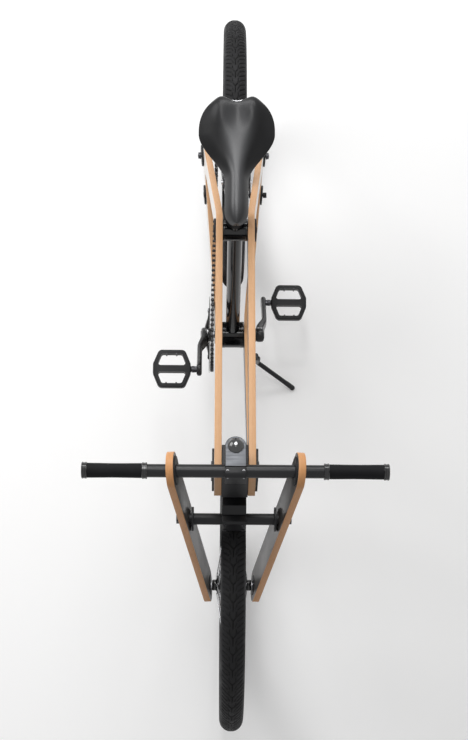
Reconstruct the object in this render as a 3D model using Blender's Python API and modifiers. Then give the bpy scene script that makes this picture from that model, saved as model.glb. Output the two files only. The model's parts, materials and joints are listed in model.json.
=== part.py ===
"""A city bicycle with a frame of two bent plywood panels and a fork of two plywood blades.

Everything is in metres. Bicycle coordinates run forward along X from the middle of the wheelbase, along Y
to the rider's left and along Z up from the ground. The finished bicycle leans to its left on the kickstand.
"""

import math

import bmesh
import bpy
from mathutils import Matrix, Vector

# Clearances
gap = 0.0003
running_gap = 0.0005
turning_space = 0.0015

# Stance
lean_angle = math.radians(0.75)
wheelbase = 1.083

# Wheels
tyre_width = 0.055
tyre_height = 0.052
tyre_steps = 40
tyre_flats = 11
tread_half_angle = math.radians(13)
rim_radius = 0.2825
wheel_radius = rim_radius + tyre_height
rim_width = 0.034
rim_depth = 0.020
spoke_count = 32
spoke_radius = 0.0013
spoke_lead = math.radians(38)
axle_radius = 0.005
front_hub_half = 0.046
front_flange_radius = 0.022
front_flange_y = 0.033
front_shell_radius = 0.014
rear_flange_radius = 0.036
rear_flange_y = 0.029
rear_shell_radius = 0.029
flange_thickness = 0.004

# Steering geometry
head_angle = math.radians(74.85)
fork_offset = 0.047
fork_tyre_clearance = 0.0155
steerer_radius = 0.0143
head_length = 0.1165
head_rear_reach = 0.036
head_front_reach = 0.030
bearing_stack = 0.006
bearing_wall = 0.006
bearing_depth = 0.008

# Fork, stem and handlebar
blade_thickness = 0.015
blade_width = 0.077
blade_axle_y = 0.0588
blade_bar_y = 0.1346
bar_radius = 0.0135
bar_wall = 0.0022
bar_length = 0.620
bar_above_head = 0.0432
clamp_height = 0.043
clamp_width = 0.043
clamp_wall = 0.0075
stem_rear_radius = 0.0215
spacer_radius = 0.019
cap_radius = 0.0165
cap_height = 0.010
bracket_width = 0.052
bracket_height = 0.084
bracket_rear_reach = 0.022
bracket_front_reach = 0.033
bracket_neck_radius = 0.0255
bracket_neck_height = 0.026
cross_tube_radius = 0.0123
cross_tube_overhang = 0.008
cross_clamp_height = 0.041
cross_flange_radius = 0.026
cross_flange_thickness = 0.004
grip_length = 0.132
grip_radius = 0.0152
grip_ring_radius = 0.017
grip_ring_width = 0.011
front_nut_radius = 0.0085
front_nut_length = 0.006

# Frame panels, seen from the side
ply_thickness = 0.015
tyre_to_panels = 0.0005
chainstay_run = 0.455
bracket_axis_height = 0.280
seat_angle = math.radians(73.7)
seat_tube_length = 0.4376
panel_spread_angle = math.radians(4.77)
panel_bend_run = 0.044
dropout_node_radius = 0.036
dropout_node_depth = 0.056
crank_node_radius = 0.050
crank_node_depth = 0.090
seat_node_radius = 0.040
seat_node_depth = 0.070
head_corner_radius = 0.012
down_arm_depth = 0.058
top_arm_depth = 0.060
head_side_depth = 0.104
opening_corner = 0.036
opening_rear_corner = 0.018

# Frame fittings
disc_thickness = 0.0045
seat_disc_radius = 0.026
dropout_disc_radius = 0.027
stay_disc_radius = 0.0245
stay_disc_forward = 0.098
head_plate_margin = 0.006
bolt_radius = 0.004
bolt_head_radius = 0.0075
bolt_head_height = 0.005
bolt_depth = 0.009
axle_nut_radius = 0.009
axle_nut_length = 0.010
axle_collar_radius = 0.0095
seat_cross_radius = 0.025
shell_radius = 0.0325
shell_sleeve_radius = 0.0225
brake_arm_thickness = 0.004
brake_arm_width = 0.016
brake_arm_y = 0.0415
brake_arm_knob_radius = 0.008
brake_arm_knob_length = 0.011

# Seat
seat_tube_radius = 0.0168
seat_tube_above = 0.050
seatpost_radius = 0.0136
seatpost_inside = 0.150
seatpost_height = 0.174
collar_wall = 0.0045
collar_height = 0.018
saddle_clamp_size = Vector((0.036, 0.060, 0.026))
rail_radius = 0.0035
rail_y = 0.022
saddle_length = 0.297
saddle_behind_clamp = 0.1725
saddle_above_rails = 0.068
saddle_half_width = 0.0805
saddle_nose_half_width = 0.0253
saddle_drop = 0.034
saddle_pad = 0.020
saddle_edge = 0.0035
saddle_notch = 0.010
saddle_shell_thickness = 0.004
saddle_shell_drop = 0.0032
saddle_shell_inset = 0.012
rail_rear_inset = 0.040
rail_nose_inset = 0.040
rail_rear_y = 0.034
rail_nose_y = 0.004
rail_above_clamp_edge = 0.008
post_in_clamp = 0.010

# Drive
crank_length = 0.170
crank_angle = math.radians(44.5)
crank_thickness = 0.012
crank_hub_thickness = 0.020
crank_hub_y = 0.058
crank_curve = 0.075
crank_big_radius = 0.0175
crank_small_radius = 0.0135
crank_inner_y = 0.0745
spindle_radius = 0.0085
chain_pitch = 0.0127
chainring_teeth = 44
sprocket_teeth = 18
chain_height = 0.008
chain_width = 0.007
chain_panel_clearance = 0.004
rear_chainline = 0.043
ring_thickness = 0.003
spider_thickness = 0.004
spider_reach = 0.058
spider_arms = 5

# Pedals
pedal_width = 0.090
pedal_length = 0.092
pedal_thickness = 0.018
pedal_from_crank = 0.0145
pedal_bar = 0.009
pedal_side_flat = 0.018
pedal_end_flat = 0.058
pedal_barrel_radius = 0.0095
pedal_web = 0.001
pedal_spindle_radius = 0.0055

# Kickstand
stand_pivot_forward = 0.039
stand_pivot_below = 0.0708
stand_bolt_forward = 0.044
stand_bolt_above = 0.006
stand_bolt_below = 0.034
stand_bolt_spacing = 0.024
stand_plate_margin = 0.010
stand_pin_tilt = math.radians(28.7)
stand_shoulder_reach = 0.015
stand_bend_offset = Vector((-0.0227, 0.0083, -0.1343))
stand_foot_forward = 0.026
stand_foot_side = 0.103
stand_plate_thickness = 0.005
stand_boss_radius = 0.011
stand_boss_length = 0.0078
stand_head_length = 0.010
stand_pin_radius = 0.004
stand_leg_radius = 0.0055
stand_foot_radius = 0.0085
stand_foot_height = 0.006

# Places that follow from the sizes above
front_axle = Vector((wheelbase / 2, 0, wheel_radius))
rear_axle = Vector((-wheelbase / 2, 0, wheel_radius))
crank_axis = Vector((rear_axle.x + chainstay_run, 0, bracket_axis_height))
seat_direction = Vector((-math.cos(seat_angle), 0, math.sin(seat_angle)))
seat_node = crank_axis + seat_direction * seat_tube_length
steer_tilt = math.pi / 2 - head_angle
steer_up = Vector((-math.cos(head_angle), 0, math.sin(head_angle)))
steer_forward = Vector((math.sin(head_angle), 0, math.cos(head_angle)))
steer_foot = front_axle - steer_forward * fork_offset
tyre_radius = tyre_width / 2
half_gap = tyre_radius + tyre_to_panels
panel_outer = half_gap + ply_thickness
front_chainline = panel_outer + chain_panel_clearance + chain_width / 2
cross_height = wheel_radius + fork_tyre_clearance + cross_clamp_height / 2
bracket_bottom = cross_height - cross_clamp_height / 2
bracket_top = bracket_bottom + bracket_height
head_bottom = bracket_top + bearing_stack + turning_space
head_top = head_bottom + head_length
stem_bottom = head_top + bearing_stack + turning_space
bar_height = head_top + bar_above_head
stem_top = bar_height + clamp_height / 2
stand_pivot = crank_axis + Vector((stand_pivot_forward, 0, -stand_pivot_below))
post_top = seat_node + seat_direction * seatpost_height
clamp_middle = post_top + Vector((0, 0, saddle_clamp_size.z / 2 - post_in_clamp))
rail_z = clamp_middle.z + saddle_clamp_size.z / 2 - rail_above_clamp_edge
saddle_rear = clamp_middle.x - saddle_behind_clamp
saddle_nose = saddle_rear + saddle_length
saddle_top = rail_z + saddle_above_rails
crank_outer_y = crank_inner_y + crank_thickness
pedal_inner_y = crank_outer_y + pedal_from_crank
stay_bolt = Vector((rear_axle.x + stay_disc_forward, 0, 0))
tread_drop = tyre_radius * math.cos(tread_half_angle)
leaning_drop = tyre_radius * math.cos(tread_half_angle - lean_angle)


def pitch_radius(teeth):
    """The radius at which a chain's pins run round a wheel with this many teeth."""
    return chain_pitch / (2 * math.sin(math.pi / teeth))


def blade_y(height):
    """How far out the middle of a fork blade is, at this height along the steering axis."""
    return blade_axle_y + (blade_bar_y - blade_axle_y) * height / bar_height


def spread(x, z):
    """How far a panel has moved outwards at a side-view point: it bends along the seat tube's line."""
    behind = -(x - crank_axis.x) * math.sin(seat_angle) - (z - crank_axis.z) * math.cos(seat_angle)
    slope = math.tan(panel_spread_angle)
    if behind <= 0:
        return 0.0
    if behind < panel_bend_run:
        return slope * behind * behind / (2 * panel_bend_run)
    return slope * (behind - panel_bend_run / 2)


def along_steering(forward, height):
    """The side-view point of the bicycle that lies there in the steering axis's own directions."""
    return steer_foot + steer_forward * forward + steer_up * height


# Scene and object helpers

for old in list(bpy.data.objects):
    bpy.data.objects.remove(old)

bicycle = bpy.data.collections.new("wooden_bicycle")
cutters = bpy.data.collections.new("cutters")
bpy.context.scene.collection.children.link(bicycle)
bpy.context.scene.collection.children.link(cutters)


def make_material(name, colour, roughness, metallic=0.0):
    made = bpy.data.materials.new(name)
    made.use_nodes = True
    shader = made.node_tree.nodes["Principled BSDF"]
    shader.inputs["Base Color"].default_value = (*colour, 1)
    shader.inputs["Roughness"].default_value = roughness
    shader.inputs["Metallic"].default_value = metallic
    return made


plywood = make_material("plywood", (0.62, 0.38, 0.20), 0.5)
black_metal = make_material("black_metal", (0.02, 0.02, 0.022), 0.4, 0.3)
bright_metal = make_material("bright_metal", (0.6, 0.6, 0.62), 0.3, 1.0)
tyre_rubber = make_material("tyre_rubber", (0.02, 0.02, 0.022), 0.8)
grip_rubber = make_material("grip_rubber", (0.018, 0.018, 0.02), 0.7)
saddle_leather = make_material("saddle_leather", (0.03, 0.03, 0.033), 0.45)
black_plastic = make_material("black_plastic", (0.025, 0.025, 0.027), 0.5)


def empty(name, location, rotation=(0, 0, 0), parent=None):
    made = bpy.data.objects.new(name, None)
    made.location = location
    made.rotation_euler = rotation
    made.parent = parent
    bicycle.objects.link(made)
    return made


def add_object(name, data, material, parent, location=(0, 0, 0), rotation=(0, 0, 0)):
    """A part as an object. With no material it is a cutter, or a shape that is joined to a part."""
    made = bpy.data.objects.new(name, data)
    made.location = location
    made.rotation_euler = rotation
    made.parent = parent
    if material is None:
        made.hide_render = True
        made.display_type = "WIRE"
        cutters.objects.link(made)
    else:
        data.materials.append(material)
        bicycle.objects.link(made)
    return made


def finish_mesh(bm, name):
    bmesh.ops.recalc_face_normals(bm, faces=bm.faces)
    if bm.calc_volume(signed=True) < 0:
        bmesh.ops.reverse_faces(bm, faces=bm.faces)
    mesh = bpy.data.meshes.new(name)
    bm.to_mesh(mesh)
    bm.free()
    mesh.shade_smooth()
    mesh.set_sharp_from_angle(angle=math.radians(40))
    return mesh


def block(name, low, high, material, parent, bevel=0.0):
    """A box between two corners, with rounded edges."""
    size = Vector(high) - Vector(low)
    bm = bmesh.new()
    bmesh.ops.create_cube(bm, size=1)
    bmesh.ops.transform(bm, matrix=Matrix.Diagonal((*size, 1)), verts=bm.verts)
    bmesh.ops.translate(bm, vec=(Vector(high) + Vector(low)) / 2, verts=bm.verts)
    if bevel:
        bmesh.ops.bevel(bm, geom=bm.edges, offset=bevel, segments=1, affect="EDGES")
    return add_object(name, finish_mesh(bm, name), material, parent)


def cylinder(name, radius, start, end, sides, material, parent):
    """A round bar between two points."""
    start = Vector(start)
    end = Vector(end)
    turn = (end - start).to_track_quat("Z", "Y").to_matrix().to_4x4()
    bm = bmesh.new()
    bmesh.ops.create_cone(
        bm,
        cap_ends=True,
        segments=sides,
        radius1=radius,
        radius2=radius,
        depth=(end - start).length,
        matrix=Matrix.Translation((start + end) / 2) @ turn,
    )
    return add_object(name, finish_mesh(bm, name), material, parent)


def ball(name, radius, centre, parent):
    """A round cutter about a point."""
    bm = bmesh.new()
    bmesh.ops.create_uvsphere(bm, u_segments=12, v_segments=8, radius=radius)
    bmesh.ops.translate(bm, vec=centre, verts=bm.verts)
    return add_object(name, finish_mesh(bm, name), None, parent)


def turned(name, profile, sides, material, parent, along="Y", ring=True, location=(0, 0, 0)):
    """A turned piece: its profile lists (radius, place along the axis), as a ring or from axis to axis."""
    points = list(profile)
    pairs = zip(points, points[1:] + points[:1])
    if sum(a[0] * b[1] - b[0] * a[1] for a, b in pairs) > 0:
        points.reverse()
    mesh = bpy.data.meshes.new(name)
    edges = [(i, i + 1) for i in range(len(points) - 1)]
    if ring:
        edges.append((len(points) - 1, 0))
    mesh.from_pydata([(radius, 0, place) for radius, place in points], edges, [])
    tilt = {"Y": (-math.pi / 2, 0, 0), "Z": (0, 0, 0)}[along]
    made = add_object(name, mesh, material, parent, location, tilt)
    screw = made.modifiers.new("turning", "SCREW")
    screw.axis = "Z"
    screw.steps = sides
    screw.render_steps = sides
    screw.use_merge_vertices = True
    screw.merge_threshold = 0.00001
    screw.use_smooth_shade = True
    return made


def cut(target, tool, operation="DIFFERENCE"):
    """Cuts the tool from the target, or joins it."""
    boolean = target.modifiers.new(operation.lower(), "BOOLEAN")
    boolean.operation = operation
    boolean.solver = "EXACT"
    boolean.object = tool


def bore(target, name, radius, start, end, sides=24):
    """A round hole through the target. The tool's flats clear a shaft of this radius."""
    clear = radius / math.cos(math.pi / sides)
    cut(target, cylinder(name, clear, start, end, sides, None, target.parent))


def flat_mesh(name, loops, thickness):
    """The mesh of a flat outline with holes in its own XY plane, its thickness centred on the plane."""
    curve = bpy.data.curves.new(name, "CURVE")
    curve.dimensions = "2D"
    curve.fill_mode = "BOTH"
    curve.extrude = thickness / 2
    for loop in loops:
        spline = curve.splines.new("POLY")
        spline.points.add(len(loop) - 1)
        for point, (x, y) in zip(spline.points, loop):
            point.co = (x, y, 0, 1)
        spline.use_cyclic_u = True
    holder = bpy.data.objects.new(name, curve)
    cutters.objects.link(holder)
    graph = bpy.context.evaluated_depsgraph_get()
    mesh = bpy.data.meshes.new_from_object(holder.evaluated_get(graph))
    bpy.data.objects.remove(holder)
    bm = bmesh.new()
    bm.from_mesh(mesh)
    bmesh.ops.remove_doubles(bm, verts=bm.verts, dist=0.00001)
    bpy.data.meshes.remove(mesh)
    return bm


def side_plate(name, loops, thickness, middle_y, material, parent):
    """A flat plate whose outline is given as (x, z) in the side view."""
    bm = flat_mesh(name, loops, thickness)
    for vertex in bm.verts:
        x, z, y = vertex.co
        vertex.co = (x, middle_y + y, z)
    return add_object(name, finish_mesh(bm, name), material, parent)


def top_plate(name, loops, low, high, material, parent):
    """A flat plate whose outline is given as (x, y), between two heights."""
    bm = flat_mesh(name, loops, high - low)
    bmesh.ops.translate(bm, vec=(0, 0, (low + high) / 2), verts=bm.verts)
    return add_object(name, finish_mesh(bm, name), material, parent)


def bent_plate(name, loops, inner, thickness, side, material):
    """A side-view plate that follows a frame panel's bend, this far outside the panel's inner face."""
    bm = flat_mesh(name, loops, thickness)
    normal = Vector((-math.sin(seat_angle), -math.cos(seat_angle), 0))
    bend_start = Vector((crank_axis.x, crank_axis.z, 0))
    bend_cuts = 3
    for i in range(bend_cuts + 1):
        place = bend_start + normal * panel_bend_run * i / bend_cuts
        everything = list(bm.verts) + list(bm.edges) + list(bm.faces)
        bmesh.ops.bisect_plane(bm, geom=everything, dist=0.0000001, plane_co=place, plane_no=normal)
    for vertex in bm.verts:
        x, z, y = vertex.co
        vertex.co = (x, side * (half_gap + inner + thickness / 2 + y + spread(x, z)), z)
    bmesh.ops.connect_verts_nonplanar(bm, angle_limit=math.radians(0.01), faces=bm.faces)
    return add_object(name, finish_mesh(bm, name), material, upright)


# Outlines


def circle(x, y, radius, count):
    """A hole's or a disc's outline, whose flats touch the circle of this radius."""
    clear = radius / math.cos(math.pi / count)
    turns = [2 * math.pi * i / count for i in range(count)]
    return [(x + clear * math.cos(a), y + clear * math.sin(a)) for a in turns]


def round_the_circles(circles, step=math.radians(15)):
    """A band stretched round circles given as (x, y, radius), counterclockwise."""
    normals = []
    for (x1, y1, r1), (x2, y2, r2) in zip(circles, circles[1:] + circles[:1]):
        length = math.hypot(x2 - x1, y2 - y1)
        normals.append(math.atan2(y2 - y1, x2 - x1) - math.acos((r1 - r2) / length))
    outline = []
    for i, (x, y, radius) in enumerate(circles):
        first = normals[i - 1]
        turn = (normals[i] - first) % (2 * math.pi)
        count = max(1, math.ceil(turn / step))
        for k in range(count + 1):
            angle = first + turn * k / count
            outline.append((x + radius * math.cos(angle), y + radius * math.sin(angle)))
    return outline, normals


def rounded_corners(corners, radii, step=math.radians(18)):
    """A counterclockwise polygon with each corner rounded, by less where its sides are too short."""
    outline = []
    count = len(corners)
    for i, radius in enumerate(radii):
        here = Vector(corners[i])
        to_last = Vector(corners[i - 1]) - here
        to_next = Vector(corners[(i + 1) % count]) - here
        half = to_last.angle(to_next) / 2
        radius = min(radius, 0.49 * min(to_last.length, to_next.length) * math.tan(half))
        middle = here + (to_last.normalized() + to_next.normalized()).normalized() * radius / math.sin(half)
        start = here + to_last.normalized() * radius / math.tan(half) - middle
        turn = math.pi - 2 * half
        steps = max(1, math.ceil(turn / step))
        for k in range(steps + 1):
            angle = math.atan2(start.y, start.x) + turn * k / steps
            outline.append((middle.x + radius * math.cos(angle), middle.y + radius * math.sin(angle)))
    return outline


def crossing(line_a, line_b):
    """Where two lines, each given as two points, cross."""
    (p, q), (r, s) = line_a, line_b
    d = q - p
    e = s - r
    t = ((r.x - p.x) * e.y - (r.y - p.y) * e.x) / (d.x * e.y - d.y * e.x)
    return p + d * t


# The bicycle's own directions, leaned over about the line where the tyres stand

bar_side_shift = (along_steering(fork_offset, bar_height).z - tread_drop) * math.sin(lean_angle)
stance = empty("stance", (0, -bar_side_shift, leaning_drop), (-lean_angle, 0, 0))
upright = empty("upright", (0, 0, -tread_drop), parent=stance)
steering = empty("steering_axis", steer_foot, (0, -steer_tilt, 0), upright)
front_hub_axis = empty("front_axle_axis", (fork_offset, 0, 0), (0, steer_tilt, 0), steering)
rear_hub_axis = empty("rear_axle_axis", rear_axle, parent=upright)
crank_frame = empty("crank_axis", crank_axis, (0, -crank_angle, 0), upright)
seat_frame = empty("seat_axis", seat_node, (0, seat_angle - math.pi / 2, 0), upright)


# Frame


def panel_outline():
    """The side view of a frame panel: its rim, and the opening that leaves four arms."""
    front = head_front_reach - head_corner_radius
    low = along_steering(front, head_bottom + head_corner_radius)
    high = along_steering(front, head_top - head_corner_radius)
    nodes = [
        (rear_axle.x, rear_axle.z, dropout_node_radius),
        (crank_axis.x, crank_axis.z, crank_node_radius),
        (low.x, low.z, head_corner_radius),
        (high.x, high.z, head_corner_radius),
        (seat_node.x, seat_node.z, seat_node_radius),
    ]
    rim, normals = round_the_circles(nodes)
    depths = [
        (dropout_node_depth, crank_node_depth),
        (crank_node_depth, down_arm_depth),
        (head_side_depth, head_side_depth),
        (top_arm_depth, seat_node_depth),
        (seat_node_depth, dropout_node_depth),
    ]
    lines = []
    for i, (at_start, at_end) in enumerate(depths):
        outward = Vector((math.cos(normals[i]), math.sin(normals[i])))
        x1, y1, r1 = nodes[i]
        x2, y2, r2 = nodes[(i + 1) % len(nodes)]
        start = Vector((x1, y1)) + outward * (r1 - at_start)
        end = Vector((x2, y2)) + outward * (r2 - at_end)
        lines.append((start, end))
    corners = [crossing(lines[i - 1], lines[i]) for i in range(len(lines))]
    radii = [opening_rear_corner, opening_corner, opening_corner, opening_corner, opening_corner]
    return rim, rounded_corners(corners, radii), lines[0]


def stay_bolt_height():
    """The middle of the lower rear arm at the stay bolt."""
    rim_low = Vector((rear_axle.x, rear_axle.z - dropout_node_radius))
    crank_low = Vector((crank_axis.x, crank_axis.z - crank_node_radius))
    opening_line = panel_outline()[2]
    share = stay_disc_forward / chainstay_run
    below = rim_low.lerp(crank_low, share)
    above = opening_line[0].lerp(opening_line[1], share)
    return (below.y + above.y) / 2


def build_panels():
    rim, opening, _ = panel_outline()
    for side, word in ((-1, "right"), (1, "left")):
        holes = [
            circle(rear_axle.x, rear_axle.z, axle_radius + gap, 8),
            circle(crank_axis.x, crank_axis.z, shell_sleeve_radius + gap, 16),
            circle(seat_node.x, seat_node.z, bolt_radius + gap, 8),
            circle(stay_bolt.x, stay_bolt.z, bolt_radius + gap, 8),
        ]
        loops = [rim, opening, *holes]
        bent_plate(f"frame_panel_{word}", loops, 0, ply_thickness, side, plywood)


def disc_with_bolt(name, x, z, radius, side, bolt_inner):
    """A disc on the outside of a panel, with its bolt through the panel."""
    inner = ply_thickness + gap
    outline = [circle(x, z, radius, 20)]
    disc = bent_plate(name, outline, inner, disc_thickness, side, black_metal)
    outer = half_gap + inner + disc_thickness + spread(x, z)
    start = Vector((x, side * bolt_inner, z))
    end = Vector((x, side * (outer - disc_thickness / 2), z))
    cut(disc, cylinder(f"{name}_shank", bolt_radius, start, end, 10, None, upright), "UNION")
    head_end = Vector((x, side * (outer + bolt_head_height), z))
    cut(disc, cylinder(f"{name}_head", bolt_head_radius, end, head_end, 12, None, upright), "UNION")
    return disc


def build_panel_discs():
    for side, word in ((-1, "right"), (1, "left")):
        bolt_inner = half_gap - bolt_depth + gap
        disc_with_bolt(f"seat_bolt_{word}", seat_node.x, seat_node.z, seat_disc_radius, side, bolt_inner)
        outline = [
            circle(rear_axle.x, rear_axle.z, dropout_disc_radius, 20),
            circle(rear_axle.x, rear_axle.z, axle_radius + running_gap, 12),
        ]
        inner = ply_thickness + gap
        bent_plate(f"dropout_disc_{word}", outline, inner, disc_thickness, side, black_metal)
    stay_inner = half_gap + spread(stay_bolt.x, stay_bolt.z)
    disc_with_bolt("stay_disc_right", stay_bolt.x, stay_bolt.z, stay_disc_radius, -1, stay_inner)
    outline = [
        circle(stay_bolt.x, stay_bolt.z, stay_disc_radius, 20),
        circle(stay_bolt.x, stay_bolt.z, bolt_radius + running_gap, 12),
    ]
    bent_plate("stay_disc_left", outline, ply_thickness + gap, disc_thickness, 1, black_metal)


def build_head_plates():
    """Black plates that cover the panels' front ends."""
    back = -head_rear_reach
    front = head_front_reach - head_plate_margin
    low = head_bottom + head_plate_margin
    high = head_top - head_plate_margin
    corners = [(back, low), (front, low), (front, high), (back, high)]
    local = rounded_corners(corners, [0.016] * 4, math.radians(30))
    places = [along_steering(forward, height) for forward, height in local]
    loop = [(place.x, place.z) for place in places]
    for side, word in ((-1, "right"), (1, "left")):
        inner = ply_thickness + gap
        bent_plate(f"head_plate_{word}", [loop], inner, disc_thickness, side, black_metal)


def build_cross_tubes():
    """The seat cross tube, drilled for its bolts and the seat tube, and the bottom bracket shell."""
    half = half_gap - gap
    hole = bolt_radius + running_gap
    profile = [
        (0, half - bolt_depth),
        (hole, half - bolt_depth),
        (hole, half),
        (seat_cross_radius, half),
        (seat_cross_radius, -half),
        (hole, -half),
        (hole, bolt_depth - half),
        (0, bolt_depth - half),
    ]
    tube = turned("seat_cross_tube", profile, 20, black_metal, seat_frame, ring=False)
    reach = seat_cross_radius * 2
    bore(tube, "seat_tube_hole", seat_tube_radius + gap, (0, 0, -reach), (0, 0, reach), 20)
    bored = spindle_radius + gap
    sleeve = shell_sleeve_radius
    sleeve_end = panel_outer + turning_space
    profile = [
        (bored, sleeve_end),
        (sleeve, sleeve_end),
        (sleeve, half),
        (shell_radius, half),
        (shell_radius, -half),
        (sleeve, -half),
        (sleeve, -sleeve_end),
        (bored, -sleeve_end),
    ]
    turned("bottom_bracket_shell", profile, 20, black_metal, crank_frame)


def build_bearings():
    """A sealed bearing at each end of the head box."""
    inner = steerer_radius + running_gap
    outer = inner + bearing_wall
    for word, low, high in (
        ("upper", head_top - bearing_depth, head_top + bearing_stack),
        ("lower", head_bottom - bearing_stack, head_bottom + bearing_depth),
    ):
        profile = [(inner, high), (outer, high), (outer, low), (inner, low)]
        turned(f"headset_bearing_{word}", profile, 20, black_metal, steering, along="Z")


def build_head_box():
    low = Vector((-head_rear_reach, gap - half_gap, head_bottom))
    high = Vector((head_front_reach, half_gap - gap, head_top))
    box = block("head_box", low, high, black_metal, steering, bevel=0.0015)
    radius = steerer_radius + running_gap + gap
    bore(box, "head_bore", radius, (0, 0, head_bottom - 0.01), (0, 0, head_top + 0.01), 20)
    seat = steerer_radius + running_gap + bearing_wall + gap
    for word, inside, outside in (
        ("upper", head_top - bearing_depth - gap, head_top + 0.01),
        ("lower", head_bottom + bearing_depth + gap, head_bottom - 0.01),
    ):
        bore(box, f"head_seat_{word}", seat, (0, 0, inside), (0, 0, outside), 20)


def build_seat_tube():
    outer = seat_tube_radius
    inner = seatpost_radius + running_gap
    low = shell_radius + gap - seat_tube_length
    profile = [(inner, seat_tube_above), (outer, seat_tube_above), (outer, low), (inner, low)]
    turned("seat_tube", profile, 20, black_metal, seat_frame, along="Z")
    inner = outer + gap
    outer = inner + collar_wall
    low = seat_tube_above - collar_height
    profile = [(inner, seat_tube_above), (outer, seat_tube_above), (outer, low), (inner, low)]
    turned("seat_collar", profile, 20, black_metal, seat_frame, along="Z")


# Seat


def build_seatpost():
    low = -seatpost_inside
    profile = [(0, seatpost_height), (seatpost_radius, seatpost_height), (seatpost_radius, low), (0, low)]
    turned("seatpost", profile, 20, black_metal, seat_frame, along="Z", ring=False)


def build_saddle_clamp():
    """The block on the post that holds the two rails."""
    half = saddle_clamp_size / 2
    clamp = block("saddle_clamp", clamp_middle - half, clamp_middle + half, black_metal, upright, bevel=0.003)
    for side, word in ((-1, "right"), (1, "left")):
        reach = Vector((saddle_clamp_size.x, 0, 0))
        place = Vector((clamp_middle.x, side * rail_y, rail_z))
        bore(clamp, f"rail_hole_{word}", rail_radius + gap, place - reach, place + reach, 12)
    below = post_top - seat_direction * saddle_clamp_size.z
    bore(clamp, "post_hole", seatpost_radius + gap, below, post_top + seat_direction * gap, 24)


def saddle_half(x):
    """Half the saddle's width: wings behind, a slim nose in front, and both ends rounded."""
    length = saddle_nose - saddle_rear
    blend_start = saddle_rear + 0.266 * length
    blend_end = saddle_rear + 0.640 * length
    t = min(1, max(0, (x - blend_start) / (blend_end - blend_start)))
    half = saddle_half_width + (saddle_nose_half_width - saddle_half_width) * t * t * (3 - 2 * t)
    rear = saddle_rear + 0.256 * length
    if x < rear:
        u = (rear - x) / (rear - saddle_rear)
        half *= max(0, 1 - u**2.6) ** (1 / 2.6)
    front = saddle_nose - saddle_nose_half_width * 1.1
    if x > front:
        u = (x - front) / (saddle_nose - front)
        half *= max(0, 1 - u**2.2) ** (1 / 2.2)
    return max(half, 0.006)


def saddle_height(x):
    """The height of the saddle's middle line: a shallow dip between the wings and the nose."""
    t = (x - saddle_rear) / (saddle_nose - saddle_rear)
    dip = 0.012 * math.sin(math.pi * min(1, t * 1.15)) ** 2
    ends = 0.012 * (t**10 + (1 - t) ** 14)
    return saddle_top - 0.010 * t - dip - ends


def saddle_loft(name, depth_top, depth_bottom, inset_top, inset_bottom, detail, material):
    """A saddle layer, lofted through sections that arch over between two depths below the saddle's top."""
    stations = 2 * detail
    across = detail
    bm = bmesh.new()
    rings = []
    for i in range(stations + 1):
        t = (1 - math.cos(math.pi * i / stations)) / 2
        x = saddle_rear + inset_top + (saddle_nose - saddle_rear - 2 * inset_top) * t
        ring = []
        for depth, inset, direction in ((depth_top, inset_top, 1), (depth_bottom, inset_bottom, -1)):
            half = max(saddle_half(x) - inset, 0.003)
            arch = saddle_drop - depth
            for k in range(across + 1):
                share = direction * (1 - 2 * k / across)
                y = half * share
                back = saddle_notch * math.exp(-((y / 0.022) ** 2)) * max(0, 1 - t * 8)
                z = saddle_height(x) - depth - arch * abs(share) ** 2.6 * min(1, 0.5 + half / 0.05)
                ring.append(bm.verts.new((x + back, y, z)))
        rings.append(ring)
    count = len(rings[0])
    for first, second in zip(rings, rings[1:]):
        for k in range(count):
            following = (k + 1) % count
            bm.faces.new((first[k], first[following], second[following], second[k]))
    bm.faces.new(rings[0])
    bm.faces.new(rings[-1])
    add_object(name, finish_mesh(bm, name), material, upright)


def build_saddle():
    saddle_loft("saddle_cover", 0, saddle_pad, 0, saddle_edge, 8, saddle_leather)
    under = saddle_pad + saddle_shell_drop
    bottom = under + saddle_shell_thickness
    inset = saddle_shell_inset
    saddle_loft("saddle_shell", under, bottom, inset, inset + saddle_edge, 6, black_plastic)
    curve = bpy.data.curves.new("saddle_rails", "CURVE")
    curve.dimensions = "3D"
    curve.bevel_depth = rail_radius
    curve.bevel_resolution = 1
    curve.use_fill_caps = True
    shell_under = under + saddle_shell_thickness + rail_radius + turning_space
    rear_x = saddle_rear + rail_rear_inset
    nose_x = saddle_nose - rail_nose_inset
    rear_z = saddle_height(rear_x) - shell_under - rail_radius * 1.7
    nose_z = saddle_height(nose_x) - shell_under - rail_radius * 1.4
    straight = saddle_clamp_size.x * 0.9
    side_points = [
        Vector((rear_x, rail_rear_y, rear_z)),
        Vector((clamp_middle.x - straight * 1.45, (rail_y * 2 + rail_rear_y) / 3, (rear_z + rail_z) / 2)),
        Vector((clamp_middle.x - straight, rail_y, rail_z)),
        Vector((clamp_middle.x + straight, rail_y, rail_z)),
        Vector((clamp_middle.x + straight * 1.6, rail_y * 0.85, (rail_z * 2 + nose_z) / 3)),
        Vector((nose_x - rail_radius * 1.7, rail_nose_y * 2.2, nose_z)),
        Vector((nose_x, rail_nose_y, nose_z)),
    ]
    mirrored = [Vector((p.x, -p.y, p.z)) for p in reversed(side_points)]
    points = side_points + mirrored
    spline = curve.splines.new("POLY")
    spline.points.add(len(points) - 1)
    for point, place in zip(spline.points, points):
        point.co = (*place, 1)
    add_object("saddle_rails", curve, bright_metal, upright)


# Fork, stem and handlebar


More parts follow.
